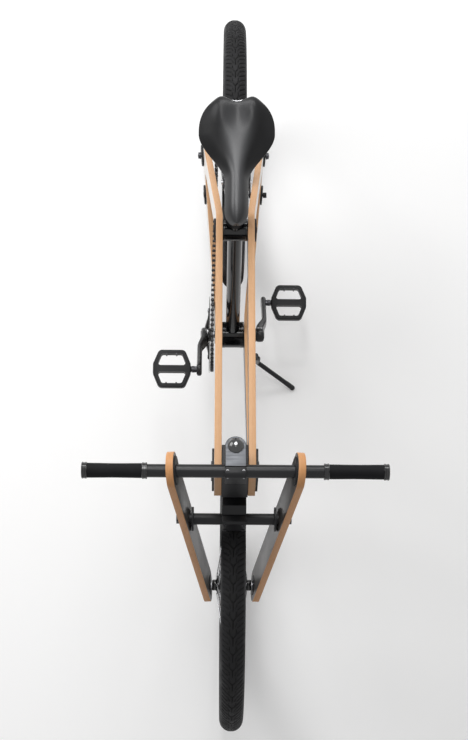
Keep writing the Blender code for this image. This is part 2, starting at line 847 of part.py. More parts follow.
def build_blades():
    """Two plywood blades, close together at the axle and wide apart at the handlebar."""
    spread_out = blade_bar_y - blade_axle_y
    length = math.hypot(bar_height, spread_out)
    end_radius = blade_width / 2
    outline, _ = round_the_circles([(0, 0, end_radius), (0, length, end_radius)], math.radians(20))
    for side, word in ((-1, "right"), (1, "left")):
        bm = flat_mesh("fork_blade", [outline], blade_thickness)
        for vertex in bm.verts:
            x, z, y = vertex.co
            vertex.co = (x, y, z)
        tilt = -side * math.atan2(spread_out, bar_height)
        name = f"fork_blade_{word}"
        place = (fork_offset, side * blade_axle_y, 0)
        mesh = finish_mesh(bm, name)
        blade = add_object(name, mesh, plywood, steering, place, (tilt, 0, 0))
        for hole, radius, height in (
            ("axle", axle_radius + gap, 0),
            ("tube", cross_tube_radius + gap, cross_height),
            ("bar", bar_radius + gap, bar_height),
        ):
            near = Vector((fork_offset, side * (blade_y(height) - 0.04), height))
            far = Vector((fork_offset, side * (blade_y(height) + 0.04), height))
            bore(blade, f"{name}_{hole}_hole", radius, near, far, 20)


def build_steerer():
    low = bracket_bottom + gap
    high = stem_top - gap
    profile = [(0, high), (steerer_radius, high), (steerer_radius, low), (0, low)]
    turned("steerer_tube", profile, 20, black_metal, steering, along="Z", ring=False)
    low = stem_top + gap
    profile = [(0, low + cap_height)]
    for i in range(1, 4):
        angle = math.pi / 2 * i / 4
        profile.append((cap_radius * math.sin(angle), low + cap_height * math.cos(angle)))
    profile += [(cap_radius, low + 0.0015), (cap_radius, low), (0, low)]
    turned("top_cap", profile, 20, black_metal, steering, along="Z", ring=False)


def build_stem():
    """The stem: a flat block with a round back, a collar below it, and a faceplate before the handlebar."""
    half = clamp_width / 2
    low = bar_height - clamp_height / 2
    outline = [(fork_offset - gap, half), (0, stem_rear_radius)]
    turns = [math.pi / 2 + math.pi * i / 10 for i in range(1, 10)]
    outline += [(stem_rear_radius * math.cos(a), stem_rear_radius * math.sin(a)) for a in turns]
    outline += [(0, -stem_rear_radius), (fork_offset - gap, -half)]
    stem = top_plate("stem", [outline], low, stem_top, black_metal, steering)
    start = (0, 0, stem_bottom)
    collar = cylinder("stem_collar", spacer_radius, start, (0, 0, low + 0.004), 20, None, steering)
    cut(stem, collar, "UNION")
    bore(stem, "stem_bore", steerer_radius + gap, (0, 0, stem_bottom - 0.01), (0, 0, stem_top + 0.01), 20)
    front = fork_offset + bar_radius + clamp_wall
    corner = Vector((fork_offset + gap, -half, low))
    plate = block("stem_faceplate", corner, (front, half, stem_top), black_metal, steering, bevel=0.002)
    for target in (stem, plate):
        near = (fork_offset, -clamp_width, bar_height)
        far = (fork_offset, clamp_width, bar_height)
        bore(target, f"{target.name}_groove", bar_radius + gap, near, far, 20)


def build_lower_bracket():
    """The block under the head that clamps the lower cross tube."""
    half = bracket_width / 2
    waist = bracket_bottom + cross_clamp_height
    shoulder = bracket_top - bracket_neck_height
    corners = [
        (-bracket_rear_reach, bracket_bottom),
        (fork_offset - gap, bracket_bottom),
        (fork_offset - gap, waist),
        (bracket_front_reach, shoulder),
        (-bracket_rear_reach, shoulder),
    ]
    outline = rounded_corners(corners, [0.006, 0.001, 0.003, 0.003, 0.006], math.radians(30))
    body = side_plate("lower_bracket", [outline], bracket_width, 0, black_metal, steering)
    neck_ends = (0, 0, shoulder - 0.004), (0, 0, bracket_top)
    cut(body, cylinder("bracket_neck", bracket_neck_radius, *neck_ends, 24, None, steering), "UNION")
    below = (0, 0, bracket_bottom - 0.01)
    bore(body, "bracket_bore", steerer_radius + gap, below, (0, 0, bracket_top + 0.01), 20)
    front = fork_offset + cross_tube_radius + clamp_wall
    corner = Vector((fork_offset + gap, -half, bracket_bottom))
    plate = block("lower_faceplate", corner, (front, half, waist), black_metal, steering, bevel=0.002)
    for target in (body, plate):
        near = (fork_offset, -bracket_width, cross_height)
        far = (fork_offset, bracket_width, cross_height)
        bore(target, f"{target.name}_groove", cross_tube_radius + gap, near, far, 20)


def build_lower_cross_tube():
    """A tube through both blades, with a flange inside each blade."""
    slope = (blade_bar_y - blade_axle_y) / bar_height
    half_ply = blade_thickness / 2 * math.hypot(1, slope)
    flange_outer = blade_y(cross_height) - half_ply - cross_flange_radius * slope - gap
    flange_inner = flange_outer - cross_flange_thickness
    end = blade_y(cross_height) + half_ply + cross_tube_radius * slope + cross_tube_overhang
    half = [
        (cross_tube_radius, flange_inner),
        (cross_flange_radius, flange_inner),
        (cross_flange_radius, flange_outer),
        (cross_tube_radius, flange_outer),
        (cross_tube_radius, end),
        (0, end),
    ]
    other = [(radius, -place) for radius, place in reversed(half)]
    place = (fork_offset, 0, cross_height)
    turned("lower_cross_tube", other + half, 20, black_metal, steering, ring=False, location=place)


def build_handlebar():
    end = bar_length / 2
    inside = bar_radius - bar_wall
    place = (fork_offset, 0, bar_height)
    cap = 0.004
    tube_end = end - cap - gap
    profile = [(inside, tube_end), (bar_radius, tube_end), (bar_radius, -tube_end), (inside, -tube_end)]
    turned("handlebar", profile, 20, black_metal, steering, location=place)
    bored = bar_radius + gap
    near = end - grip_length
    for side, word in ((-1, "right"), (1, "left")):
        profile = [
            (0, end),
            (grip_ring_radius, end),
            (grip_ring_radius, end - grip_ring_width),
            (grip_radius, end - grip_ring_width),
            (grip_radius, near + grip_ring_width),
            (grip_ring_radius, near + grip_ring_width),
            (grip_ring_radius, near),
            (bored, near),
            (bored, end - cap),
            (0, end - cap),
        ]
        profile = [(radius, side * along) for radius, along in profile]
        turned(f"grip_{word}", profile, 20, grip_rubber, steering, ring=False, location=place)


def build_front_axle():
    """The axle through both blades, with a shoulder each side of the hub and a nut outside each blade."""
    slope = (blade_bar_y - blade_axle_y) / bar_height
    half_ply = blade_thickness / 2 * math.hypot(1, slope)
    shoulder = blade_axle_y - half_ply - axle_collar_radius * slope - gap
    outer = blade_axle_y + half_ply + front_nut_radius * slope + gap
    end = outer + front_nut_length + 0.002
    inner = front_hub_half + gap
    half = [
        (axle_radius, inner),
        (axle_collar_radius, inner),
        (axle_collar_radius, shoulder),
        (axle_radius, shoulder),
        (axle_radius, end),
        (0, end),
    ]
    other = [(radius, -place) for radius, place in reversed(half)]
    place = (fork_offset, 0, 0)
    turned("front_axle", other + half, 16, bright_metal, steering, ring=False, location=place)
    for side, word in ((-1, "right"), (1, "left")):
        bored = axle_radius / math.cos(math.pi / 16) + gap
        profile = [
            (bored, outer + front_nut_length),
            (front_nut_radius, outer + front_nut_length),
            (front_nut_radius, outer),
            (bored, outer),
        ]
        profile = [(radius, side * along) for radius, along in profile]
        turned(f"front_axle_nut_{word}", profile, 16, bright_metal, steering, location=place)


# Wheels


def build_tyre(name, parent):
    """A round section with a flat tread that closes on the rim. Its flats touch the wheel's radius."""
    middle = wheel_radius - tread_drop
    bead = min(rim_width / 2 - 0.001, tyre_radius * 0.95)
    open_half = math.pi - math.asin(bead / tyre_radius)
    side_steps = (tyre_flats - 1) // 2
    turns = [tread_half_angle + (open_half - tread_half_angle) * i / side_steps for i in range(side_steps + 1)]
    profile = [(rim_radius + gap, bead)]
    for angle in [*reversed(turns), *(-turn for turn in turns)]:
        profile.append((middle + tyre_radius * math.cos(angle), tyre_radius * math.sin(angle)))
    profile.append((rim_radius + gap, -bead))
    widen = 1 / math.cos(math.pi / tyre_steps)
    profile = [(radius * widen, along) for radius, along in profile]
    tyre = turned(name, profile, tyre_steps, tyre_rubber, parent)
    tyre.rotation_euler = (-math.pi / 2, math.pi / tyre_steps, 0)
    return tyre


def build_rim(name, parent, flange_radius, flange_y):
    """A rim joined to its spokes, which lean forwards and back in turn and end at the hub's flanges."""
    half = rim_width / 2
    inner = rim_radius - rim_depth
    side = rim_radius - rim_depth * 0.6
    profile = [
        (rim_radius, half),
        (side, half),
        (inner, 0.4 * half),
        (inner, -0.4 * half),
        (side, -half),
        (rim_radius, -half),
    ]
    rim = turned(name, profile, tyre_steps, black_metal, parent)
    bm = bmesh.new()
    for i in range(spoke_count):
        side = 1 if i % 2 else -1
        lead = spoke_lead if i % 4 < 2 else -spoke_lead
        at_rim = 2 * math.pi * (i + 0.5) / spoke_count
        at_hub = at_rim + lead
        lift = side * (flange_y + (spoke_radius * 1.6 if lead > 0 else -spoke_radius * 1.6))
        start_radius = flange_radius + spoke_radius + gap
        start = Vector((start_radius * math.cos(at_hub), lift, start_radius * math.sin(at_hub)))
        end_radius = inner + 0.004
        end = Vector((end_radius * math.cos(at_rim), side * 0.003, end_radius * math.sin(at_rim)))
        turn = (end - start).to_track_quat("Z", "Y").to_matrix().to_4x4()
        place = Matrix.Translation((start + end) / 2) @ turn
        bmesh.ops.create_cone(
            bm,
            cap_ends=True,
            segments=4,
            radius1=spoke_radius,
            radius2=spoke_radius,
            depth=(end - start).length,
            matrix=place,
        )
    spokes = add_object(f"{name}_spokes", finish_mesh(bm, f"{name}_spokes"), None, parent)
    cut(rim, spokes, "UNION")


def build_front_hub():
    bored = axle_radius + running_gap
    tip = front_shell_radius * 0.85
    half = [
        (front_shell_radius, 0.002),
        (front_shell_radius, front_flange_y - flange_thickness),
        (front_flange_radius, front_flange_y - flange_thickness / 2),
        (front_flange_radius, front_flange_y + flange_thickness / 2),
        (tip, front_flange_y + flange_thickness),
        (tip, front_hub_half),
        (bored, front_hub_half),
    ]
    other = [(radius, -place) for radius, place in reversed(half)]
    turned("front_hub", other + half, 20, black_metal, front_hub_axis)


def build_rear_wheel_centre():
    """The coaster hub, its axle with shoulders against the panels, the sprocket and the brake arm."""
    bored = axle_radius + running_gap
    left_end = brake_arm_y - brake_arm_thickness / 2 - turning_space
    right_end = -(rear_chainline - ring_thickness / 2 - turning_space)
    tip = rear_shell_radius * 0.8
    profile = [
        (bored, left_end),
        (tip, left_end),
        (tip, rear_flange_y + flange_thickness),
        (rear_flange_radius, rear_flange_y + flange_thickness / 2),
        (rear_flange_radius, rear_flange_y - flange_thickness / 2),
        (rear_shell_radius, rear_flange_y - flange_thickness),
        (rear_shell_radius, flange_thickness - rear_flange_y),
        (rear_flange_radius, flange_thickness / 2 - rear_flange_y),
        (rear_flange_radius, -flange_thickness / 2 - rear_flange_y),
        (tip, -rear_flange_y - flange_thickness),
        (tip, right_end),
        (bored, right_end),
    ]
    turned("rear_hub", profile, 20, black_metal, rear_hub_axis)
    slope = math.tan(panel_spread_angle)
    panel = half_gap + spread(rear_axle.x, rear_axle.z)
    shoulder = panel - axle_collar_radius * slope - gap
    disc_outer = panel + ply_thickness + disc_thickness + gap
    nut_start = disc_outer + axle_nut_radius * slope + gap
    end = nut_start + axle_nut_length + 0.002
    sprocket_end = rear_chainline + ring_thickness / 2 + 0.003
    arm_end = brake_arm_y + brake_arm_thickness / 2
    profile = [
        (0, end),
        (axle_radius, end),
        (axle_radius, shoulder),
        (axle_collar_radius, shoulder),
        (axle_collar_radius, arm_end + gap),
        (axle_radius, arm_end + gap),
        (axle_radius, -sprocket_end - running_gap),
        (axle_collar_radius, -sprocket_end - running_gap),
        (axle_collar_radius, -shoulder),
        (axle_radius, -shoulder),
        (axle_radius, -end),
        (0, -end),
    ]
    turned("rear_axle", profile, 16, bright_metal, rear_hub_axis, ring=False)
    round_bore = axle_radius / math.cos(math.pi / 16) + gap
    for side, word in ((-1, "right"), (1, "left")):
        profile = [
            (round_bore, nut_start + axle_nut_length),
            (axle_nut_radius, nut_start + axle_nut_length),
            (axle_nut_radius, nut_start),
            (round_bore, nut_start),
        ]
        profile = [(radius, side * along) for radius, along in profile]
        turned(f"rear_axle_nut_{word}", profile, 16, bright_metal, rear_hub_axis)
    outer = pitch_radius(sprocket_teeth) - chain_height / 2 - turning_space
    middle = rear_chainline
    profile = [
        (bored, -middle + ring_thickness / 2),
        (outer, -middle + ring_thickness / 2),
        (outer, -middle - ring_thickness / 2),
        (outer * 0.55, -middle - ring_thickness / 2),
        (outer * 0.55, -sprocket_end),
        (bored, -sprocket_end),
    ]
    turned("rear_sprocket", profile, 24, bright_metal, rear_hub_axis)


def build_brake_arm():
    """The coaster brake's lever on the axle, and the bolt that holds its end to the left panel."""
    outline, _ = round_the_circles(
        [
            (rear_axle.x, rear_axle.z, brake_arm_width),
            (stay_bolt.x, stay_bolt.z, brake_arm_width / 2),
        ]
    )
    holes = [
        circle(rear_axle.x, rear_axle.z, axle_radius + gap, 12),
        circle(stay_bolt.x, stay_bolt.z, bolt_radius + gap, 12),
    ]
    loops = [outline, *holes]
    side_plate("coaster_brake_arm", loops, brake_arm_thickness, brake_arm_y, bright_metal, upright)
    inner = brake_arm_y + brake_arm_thickness / 2
    disc = half_gap + spread(stay_bolt.x, stay_bolt.z) + ply_thickness + disc_thickness + gap
    outer = disc + brake_arm_knob_radius * math.tan(panel_spread_angle) + gap
    start = brake_arm_y - brake_arm_thickness / 2 - 0.003
    panel = half_gap + spread(stay_bolt.x, stay_bolt.z)
    spacer_end = panel - brake_arm_knob_radius * math.tan(panel_spread_angle) - gap
    profile = [
        (0, start),
        (bolt_radius, start),
        (bolt_radius, inner + gap),
        (brake_arm_knob_radius, inner + gap),
        (brake_arm_knob_radius, spacer_end),
        (bolt_radius, spacer_end),
        (bolt_radius, outer),
        (brake_arm_knob_radius, outer),
        (brake_arm_knob_radius, outer + brake_arm_knob_length),
        (0, outer + brake_arm_knob_length),
    ]
    place = (stay_bolt.x, 0, stay_bolt.z)
    turned("brake_arm_bolt", profile, 12, black_metal, upright, ring=False, location=place)


# Drive


def build_chain():
    """A closed band at the pins' height. It runs outside the right panel in front and inside it behind."""
    front = (crank_axis.x, crank_axis.z, pitch_radius(chainring_teeth))
    rear = (rear_axle.x, rear_axle.z, pitch_radius(sprocket_teeth))
    loops = []
    for grow in (chain_height / 2, -chain_height / 2):
        circles = [(x, z, radius + grow) for x, z, radius in (rear, front)]
        outline, _ = round_the_circles(circles, math.radians(15))
        loops.append(outline)
    bm = flat_mesh("chain", loops, chain_width)
    front_end = front[0] - front[2] * 0.35
    rear_end = rear[0] + rear[2]
    for place in (rear_end, front_end):
        everything = list(bm.verts) + list(bm.edges) + list(bm.faces)
        bmesh.ops.bisect_plane(
            bm, geom=everything, dist=0.0000001, plane_co=(place, 0, 0), plane_no=(1, 0, 0)
        )
    for vertex in bm.verts:
        x, z, y = vertex.co
        share = min(1, max(0, (x - rear_end) / (front_end - rear_end)))
        vertex.co = (x, y - rear_chainline - (front_chainline - rear_chainline) * share, z)
    bmesh.ops.connect_verts_nonplanar(bm, angle_limit=math.radians(0.01), faces=bm.faces)
    add_object("chain", finish_mesh(bm, "chain"), black_metal, upright)


def build_cranks():
    """The spindle, both arms and the chainring. The right arm carries the spider."""
    hub_outer = crank_hub_y + crank_hub_thickness
    end = hub_outer - 0.002
    profile = [(0, end), (spindle_radius, end), (spindle_radius, -end), (0, -end)]
    turned("crank_spindle", profile, 20, bright_metal, crank_frame, ring=False)
    ring_outer = pitch_radius(chainring_teeth) - chain_height / 2 - turning_space
    middle = front_chainline
    circles = [
        circle(0, 0, ring_outer, 48),
        circle(0, 0, spider_reach - 0.012, 24),
    ]
    side_plate("chainring", circles, ring_thickness, -middle, black_metal, crank_frame)
    spider_middle = middle + ring_thickness / 2 + gap + spider_thickness / 2
    boss_inner = spider_middle - spider_thickness / 2
    round_bore = spindle_radius / math.cos(math.pi / 20) + gap
    for side, word in ((-1, "right"), (1, "left")):
        ends = [(0, 0, crank_big_radius), (-side * crank_length, 0, crank_small_radius)]
        if side > 0:
            ends.reverse()
        outline, _ = round_the_circles(ends, math.radians(30))
        hole = circle(-side * crank_length, 0, pedal_spindle_radius + 0.0015 + gap, 16)
        arm = curved_arm(f"crank_arm_{word}", [outline, hole], side)
        start = (0, side * (boss_inner + spider_thickness / 4), 0)
        boss_end = (0, side * (crank_hub_y + 0.003), 0)
        radius = crank_big_radius * 0.95
        boss = cylinder(f"crank_boss_{word}", radius, start, boss_end, 16, None, crank_frame)
        cut(arm, boss, "UNION")
        if side < 0:
            cut(arm, spider_shape(-spider_middle), "UNION")
        near = (0, side * (boss_inner - 0.01), 0)
        bore(arm, f"spindle_hole_{word}", round_bore, near, (0, side * (hub_outer + 0.01), 0), 20)


def curved_arm(name, loops, side):
    """A crank arm that runs outwards from its thick hub to a thinner, flat end."""
    bm = flat_mesh(name, loops, 1)
    cuts = 3
    for i in range(cuts + 1):
        place = crank_big_radius + (crank_curve - crank_big_radius) * i / cuts
        everything = list(bm.verts) + list(bm.edges) + list(bm.faces)
        plane = {"plane_co": (-side * place, 0, 0), "plane_no": (1, 0, 0)}
        bmesh.ops.bisect_plane(bm, geom=everything, dist=0.0000001, **plane)
    for vertex in bm.verts:
        x, z, face = vertex.co
        share = (abs(x) - crank_big_radius) / (crank_curve - crank_big_radius)
        share = min(1, max(0, share)) if x * side < 0 else 0
        share = share * share * (3 - 2 * share)
        inner = crank_hub_y + (crank_inner_y - crank_hub_y) * share
        thickness = crank_hub_thickness + (crank_thickness - crank_hub_thickness) * share
        vertex.co = (x, side * (inner + thickness * (0.5 + face)), z)
    bmesh.ops.connect_verts_nonplanar(bm, angle_limit=math.radians(0.01), faces=bm.faces)
    return add_object(name, finish_mesh(bm, name), black_metal, crank_frame)


def spider_shape(middle_y):
    """A hub with arms that reach the chainring."""
    outline = []
    valley = crank_big_radius * 1.15
    for i in range(spider_arms):
        centre = 2 * math.pi * (i + 0.5) / spider_arms
        gap_angle = centre + math.pi / spider_arms
        for turn, radius in ((-0.12, spider_reach), (0.12, spider_reach)):
            outline.append((radius * math.cos(centre + turn), radius * math.sin(centre + turn)))
        outline.append((valley * math.cos(gap_angle), valley * math.sin(gap_angle)))
    return side_plate("spider", [outline], spider_thickness, middle_y, None, crank_frame)


def build_pedal(word, side):
    """A cage with two windows that turns on a spindle screwed into the crank arm."""
    centre = crank_axis + Vector((math.cos(crank_angle), 0, math.sin(crank_angle))) * crank_length * -side
    axis = empty(f"pedal_axis_{word}", centre, parent=upright)
    inner = pedal_inner_y
    outer = pedal_inner_y + pedal_width
    half = pedal_length / 2
    taper = Vector(((pedal_length - pedal_side_flat) / 2, (pedal_width - pedal_end_flat) / 2))
    outer_loop = octagon(-half, half, inner, outer, taper.x, taper.y)
    lean = taper.y / taper.x
    sides = []
    for height in (pedal_barrel_radius + pedal_web, half - pedal_bar):
        narrowing = max(0, height - pedal_side_flat / 2) * lean + pedal_bar * math.hypot(1, lean)
        sides.append((height, inner + narrowing, outer - narrowing))
    (low, low_near, low_far), (high, high_near, high_far) = sides
    windows = [
        [(low, low_near), (high, high_near), (high, high_far), (low, low_far)],
        [(-high, high_near), (-low, low_near), (-low, low_far), (-high, high_far)],
    ]
    loops = [[(x, side * y) for x, y in loop] for loop in (outer_loop, *windows)]
    thick = pedal_thickness / 2
    cage = top_plate(f"pedal_{word}", loops, -thick, thick, black_metal, axis)
    tip = outer - pedal_bar / 2
    start = (0, side * (inner - 0.002), 0)
    barrel = cylinder(f"pedal_barrel_{word}", pedal_barrel_radius, start, (0, side * tip, 0), 20, None, axis)
    cut(cage, barrel, "UNION")
    bored = pedal_spindle_radius + running_gap
    end = outer - pedal_bar
    bore(cage, f"pedal_bore_{word}", bored, (0, side * (inner - 0.01), 0), (0, side * end, 0), 20)
    thread = pedal_spindle_radius + 0.0015
    flange = crank_outer_y + gap
    profile = [
        (0, crank_inner_y + 0.001),
        (thread, crank_inner_y + 0.001),
        (thread, flange),
        (thread + 0.003, flange),
        (thread + 0.003, inner - 0.002 - running_gap),
        (pedal_spindle_radius, inner - 0.002 - running_gap),
        (pedal_spindle_radius, end - 0.001),
        (0, end - 0.001),
    ]
    profile = [(radius, side * along) for radius, along in profile]
    turned(f"pedal_spindle_{word}", profile, 16, bright_metal, axis, ring=False)


def octagon(x_low, x_high, y_low, y_high, corner_x, corner_y):
    """A rectangle with its corners cut off, counterclockwise."""
    return [
        (x_low + corner_x, y_low),
        (x_high - corner_x, y_low),
        (x_high, y_low + corner_y),
        (x_high, y_high - corner_y),
        (x_high - corner_x, y_high),
        (x_low + corner_x, y_high),
        (x_low, y_high - corner_y),
        (x_low, y_low + corner_y),
    ]


# Kickstand


def build_kickstand():
    """A plate on the left panel with a tilted pin, and the bent leg that turns on it down to the ground."""
    inner = panel_outer + gap
    outer = inner + stand_plate_thickness
    bolt = crank_axis + Vector((stand_bolt_forward, 0, 0))
    outline, _ = round_the_circles(
        [
            (stand_pivot.x, stand_pivot.z, stand_boss_radius + 0.003),
            (bolt.x, bolt.z + stand_bolt_above, stand_plate_margin),
            (bolt.x - stand_bolt_spacing, bolt.z - stand_bolt_below, stand_plate_margin),
        ],
        math.radians(30),
    )
    middle = (inner + outer) / 2
    thickness = stand_plate_thickness
    bracket = side_plate("kickstand_bracket", [outline], thickness, middle, black_metal, upright)
    pin_line = Vector((0, math.cos(stand_pin_tilt), math.sin(stand_pin_tilt)))
    base = Vector((stand_pivot.x, outer - 0.001, stand_pivot.z))
    boss_end = base + pin_line * stand_boss_length
    cut(bracket, cylinder("stand_boss", stand_boss_radius, base, boss_end, 20, None, upright), "UNION")
    head_start = boss_end + pin_line * running_gap
    head_end = head_start + pin_line * stand_head_length
    pin = cylinder("stand_pin", stand_pin_radius, boss_end - pin_line * 0.003, head_end, 16, None, upright)
    cut(bracket, pin, "UNION")
    pivot = (head_start + head_end) / 2
    ground_normal = Vector((0, -math.sin(lean_angle), math.cos(lean_angle)))
    foot = Vector((pivot.x + stand_foot_forward, pivot.y + stand_foot_side, 0))
    foot.z = tread_drop + (foot.y * math.sin(lean_angle) - leaning_drop) / math.cos(lean_angle)
    foot -= pivot
    bend = stand_bend_offset
    leg_axis = empty("kickstand_pivot", pivot, parent=upright)
    half_head = pin_line * stand_head_length / 2
    leg = cylinder("kickstand_leg", stand_boss_radius, -half_head, half_head, 20, black_metal, leg_axis)
    rod_end = foot + ground_normal * stand_foot_height * 0.9
    down = Vector((0, math.sin(stand_pin_tilt), -math.cos(stand_pin_tilt)))
    start = down * (stand_pin_radius + 0.002)
    shoulder = down * stand_shoulder_reach
    for word, low, high in (("top", start, shoulder), ("upper", shoulder, bend), ("lower", bend, rod_end)):
        rod = cylinder(f"stand_{word}_rod", stand_leg_radius, low, high, 12, None, leg_axis)
        cut(leg, rod, "UNION")
    for word, place in (("shoulder", shoulder), ("elbow", bend)):
        cut(leg, ball(f"stand_{word}", stand_leg_radius * 1.04, place, leg_axis), "UNION")
    sole = foot + ground_normal * stand_foot_height
    cut(leg, cylinder("stand_foot", stand_foot_radius, foot, sole, 16, None, leg_axis), "UNION")
    bored = stand_pin_radius + running_gap
    bore(leg, "stand_hole", bored, -half_head * 2, half_head * 2, 20)


stay_bolt.z = stay_bolt_height()
build_panels()
build_panel_discs()
build_head_plates()
build_cross_tubes()
build_bearings()
build_head_box()
build_seat_tube()
build_seatpost()
build_saddle_clamp()
build_saddle()
build_blades()
build_steerer()
build_stem()
build_lower_bracket()
build_lower_cross_tube()
build_handlebar()
build_front_axle()
build_tyre("front_tyre", front_hub_axis)
build_rim("front_rim", front_hub_axis, front_flange_radius, front_flange_y)
build_front_hub()
build_tyre("rear_tyre", rear_hub_axis)
build_rim("rear_rim", rear_hub_axis, rear_flange_radius, rear_flange_y)
build_rear_wheel_centre()
build_brake_arm()
build_chain()
build_cranks()
build_pedal("right", -1)
build_pedal("left", 1)
build_kickstand()
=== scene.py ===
"""The looks of a city bicycle with a frame of bent plywood panels and a fork of plywood blades.

Shapes are worked out in bicycle coordinates, in millimetres: X forward from the middle of the wheelbase,
Y to the rider's left and Z up from the ground, before the bicycle leans over on its stand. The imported
record's joints say where that frame lies in the row. A profile is a list of (radius, distance along the
axis), and a third number gives a ring that many flat sides.
"""

import json
import math

import bmesh
import bpy
import numpy as np
from mathutils import Matrix, Vector


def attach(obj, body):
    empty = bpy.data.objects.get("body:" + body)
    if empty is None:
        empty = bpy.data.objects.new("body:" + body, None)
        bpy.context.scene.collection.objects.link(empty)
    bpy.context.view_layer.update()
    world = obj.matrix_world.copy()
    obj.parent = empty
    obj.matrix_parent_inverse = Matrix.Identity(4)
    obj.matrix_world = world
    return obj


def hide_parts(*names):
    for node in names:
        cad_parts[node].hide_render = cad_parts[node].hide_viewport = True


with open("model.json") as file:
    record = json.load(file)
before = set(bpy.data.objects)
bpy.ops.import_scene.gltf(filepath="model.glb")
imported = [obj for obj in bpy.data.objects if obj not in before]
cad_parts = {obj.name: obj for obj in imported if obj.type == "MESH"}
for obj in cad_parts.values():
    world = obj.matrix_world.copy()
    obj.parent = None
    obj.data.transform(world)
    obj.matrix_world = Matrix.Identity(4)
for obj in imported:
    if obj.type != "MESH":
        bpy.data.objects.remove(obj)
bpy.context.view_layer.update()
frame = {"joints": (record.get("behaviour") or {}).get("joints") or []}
joints = {joint["name"]: joint for joint in frame["joints"]}
link = bpy.context.scene.collection.objects.link


def at(*numbers):
    return np.array(numbers, float)


def unit(vector):
    return np.asarray(vector, float) / np.linalg.norm(vector)


# Sizes as in the CAD, but for the blades, which stand a little closer together
wheelbase, wheel_radius, tyre_radius = 1083, 334.5, 27.5
head_angle, fork_offset = math.radians(74.85), 47
half_gap, ply, gap = 28, 15, 0.3
blade_width, blade_axle_y, blade_bar_y = 77, 57.3, 128.6
bar_height, bar_radius, bar_length, grip_length = 601.2, 13.5, 620, 132
cross_height, cross_radius = 370.5, 12.3
head_bottom, head_top, stem_top = 441.5, 558, 622.7
seat_angle, seat_tube_length = math.radians(73.7), 437.6
panel_spread, panel_bend = math.tan(math.radians(4.77)), 44

crank_axis = at(-86.5, 0, 280)
front_axle = at(wheelbase / 2, 0, wheel_radius)
rear_axle = at(-wheelbase / 2, 0, wheel_radius)
seat_up = at(-math.cos(seat_angle), 0, math.sin(seat_angle))
seat_node = crank_axis + seat_up * seat_tube_length
steer_up = at(-math.cos(head_angle), 0, math.sin(head_angle))
steer_forward = at(math.sin(head_angle), 0, math.cos(head_angle))
steer_foot = front_axle - steer_forward * fork_offset
left = at(0, 1, 0)
sides = ((-1, "right"), (1, "left"))
side_view = np.array([[1, 0, 0], [0, 0, 1], [0, -1, 0]])

# The row's directions and origin for bicycle coordinates: the rear wheel's axis gives Y
spin = joints["rear_wheel_spin"]
forwards, across_row = Vector((1, 0, 0)), Vector(spin["axis"]).normalized()
upright = Matrix((forwards, across_row, forwards.cross(across_row))).transposed()
upright_turn = np.array(upright)
upright_place = 1000 * np.array(Vector(spin["pos_m"]) - upright @ Vector(rear_axle / 1000))


def steered(forward, side, height):
    """The bicycle's point at these distances along the steering axis's own directions."""
    forward, side, height = np.broadcast_arrays(forward, side, height)
    return steer_foot + forward[..., None] * steer_forward + side[..., None] * left + height[..., None] * steer_up


def full_turn(steps):
    return np.arange(steps) * 2 * np.pi / steps


def on_circle(x, y, radius, angle):
    return np.stack([x + radius * np.cos(angle), y + radius * np.sin(angle)], 1)


def eased(share):
    """A share of the way that starts and ends slowly: 3 s^2 - 2 s^3."""
    return share * share * (3 - 2 * share)


def mirrored(half):
    """A profile from its half, which is listed from the outer end inwards."""
    return half + [(radius, -place) for radius, place in reversed(half)]


def length_along(loop):
    """The distance from a closed loop's first point to each of its points."""
    return np.concatenate([[0], np.cumsum(np.linalg.norm(np.diff(loop, axis=0), axis=1))])


def rounded_edge(bevel, thickness, steps=3):
    """(distance in from the edge, level) round an edge between two faces, by a quarter circle at each."""
    turn = np.linspace(0, np.pi / 2, steps + 1)
    inset, drop = bevel * (1 - np.sin(turn)), bevel * (1 - np.cos(turn))
    return list(zip(inset, drop)) + list(zip(inset[::-1], thickness - drop[::-1]))


def outline_normals(outline):
    """The outward direction at each point of a counterclockwise outline, longer at a sharp corner."""
    edge = np.roll(outline, -1, 0) - outline
    edge /= np.maximum(np.linalg.norm(edge, axis=1), 1e-9)[:, None]
    out = np.stack([edge[:, 1], -edge[:, 0]], 1)
    both = out + np.roll(out, 1, 0)
    return both / np.maximum((both * both).sum(1) / 2, 0.5)[:, None]


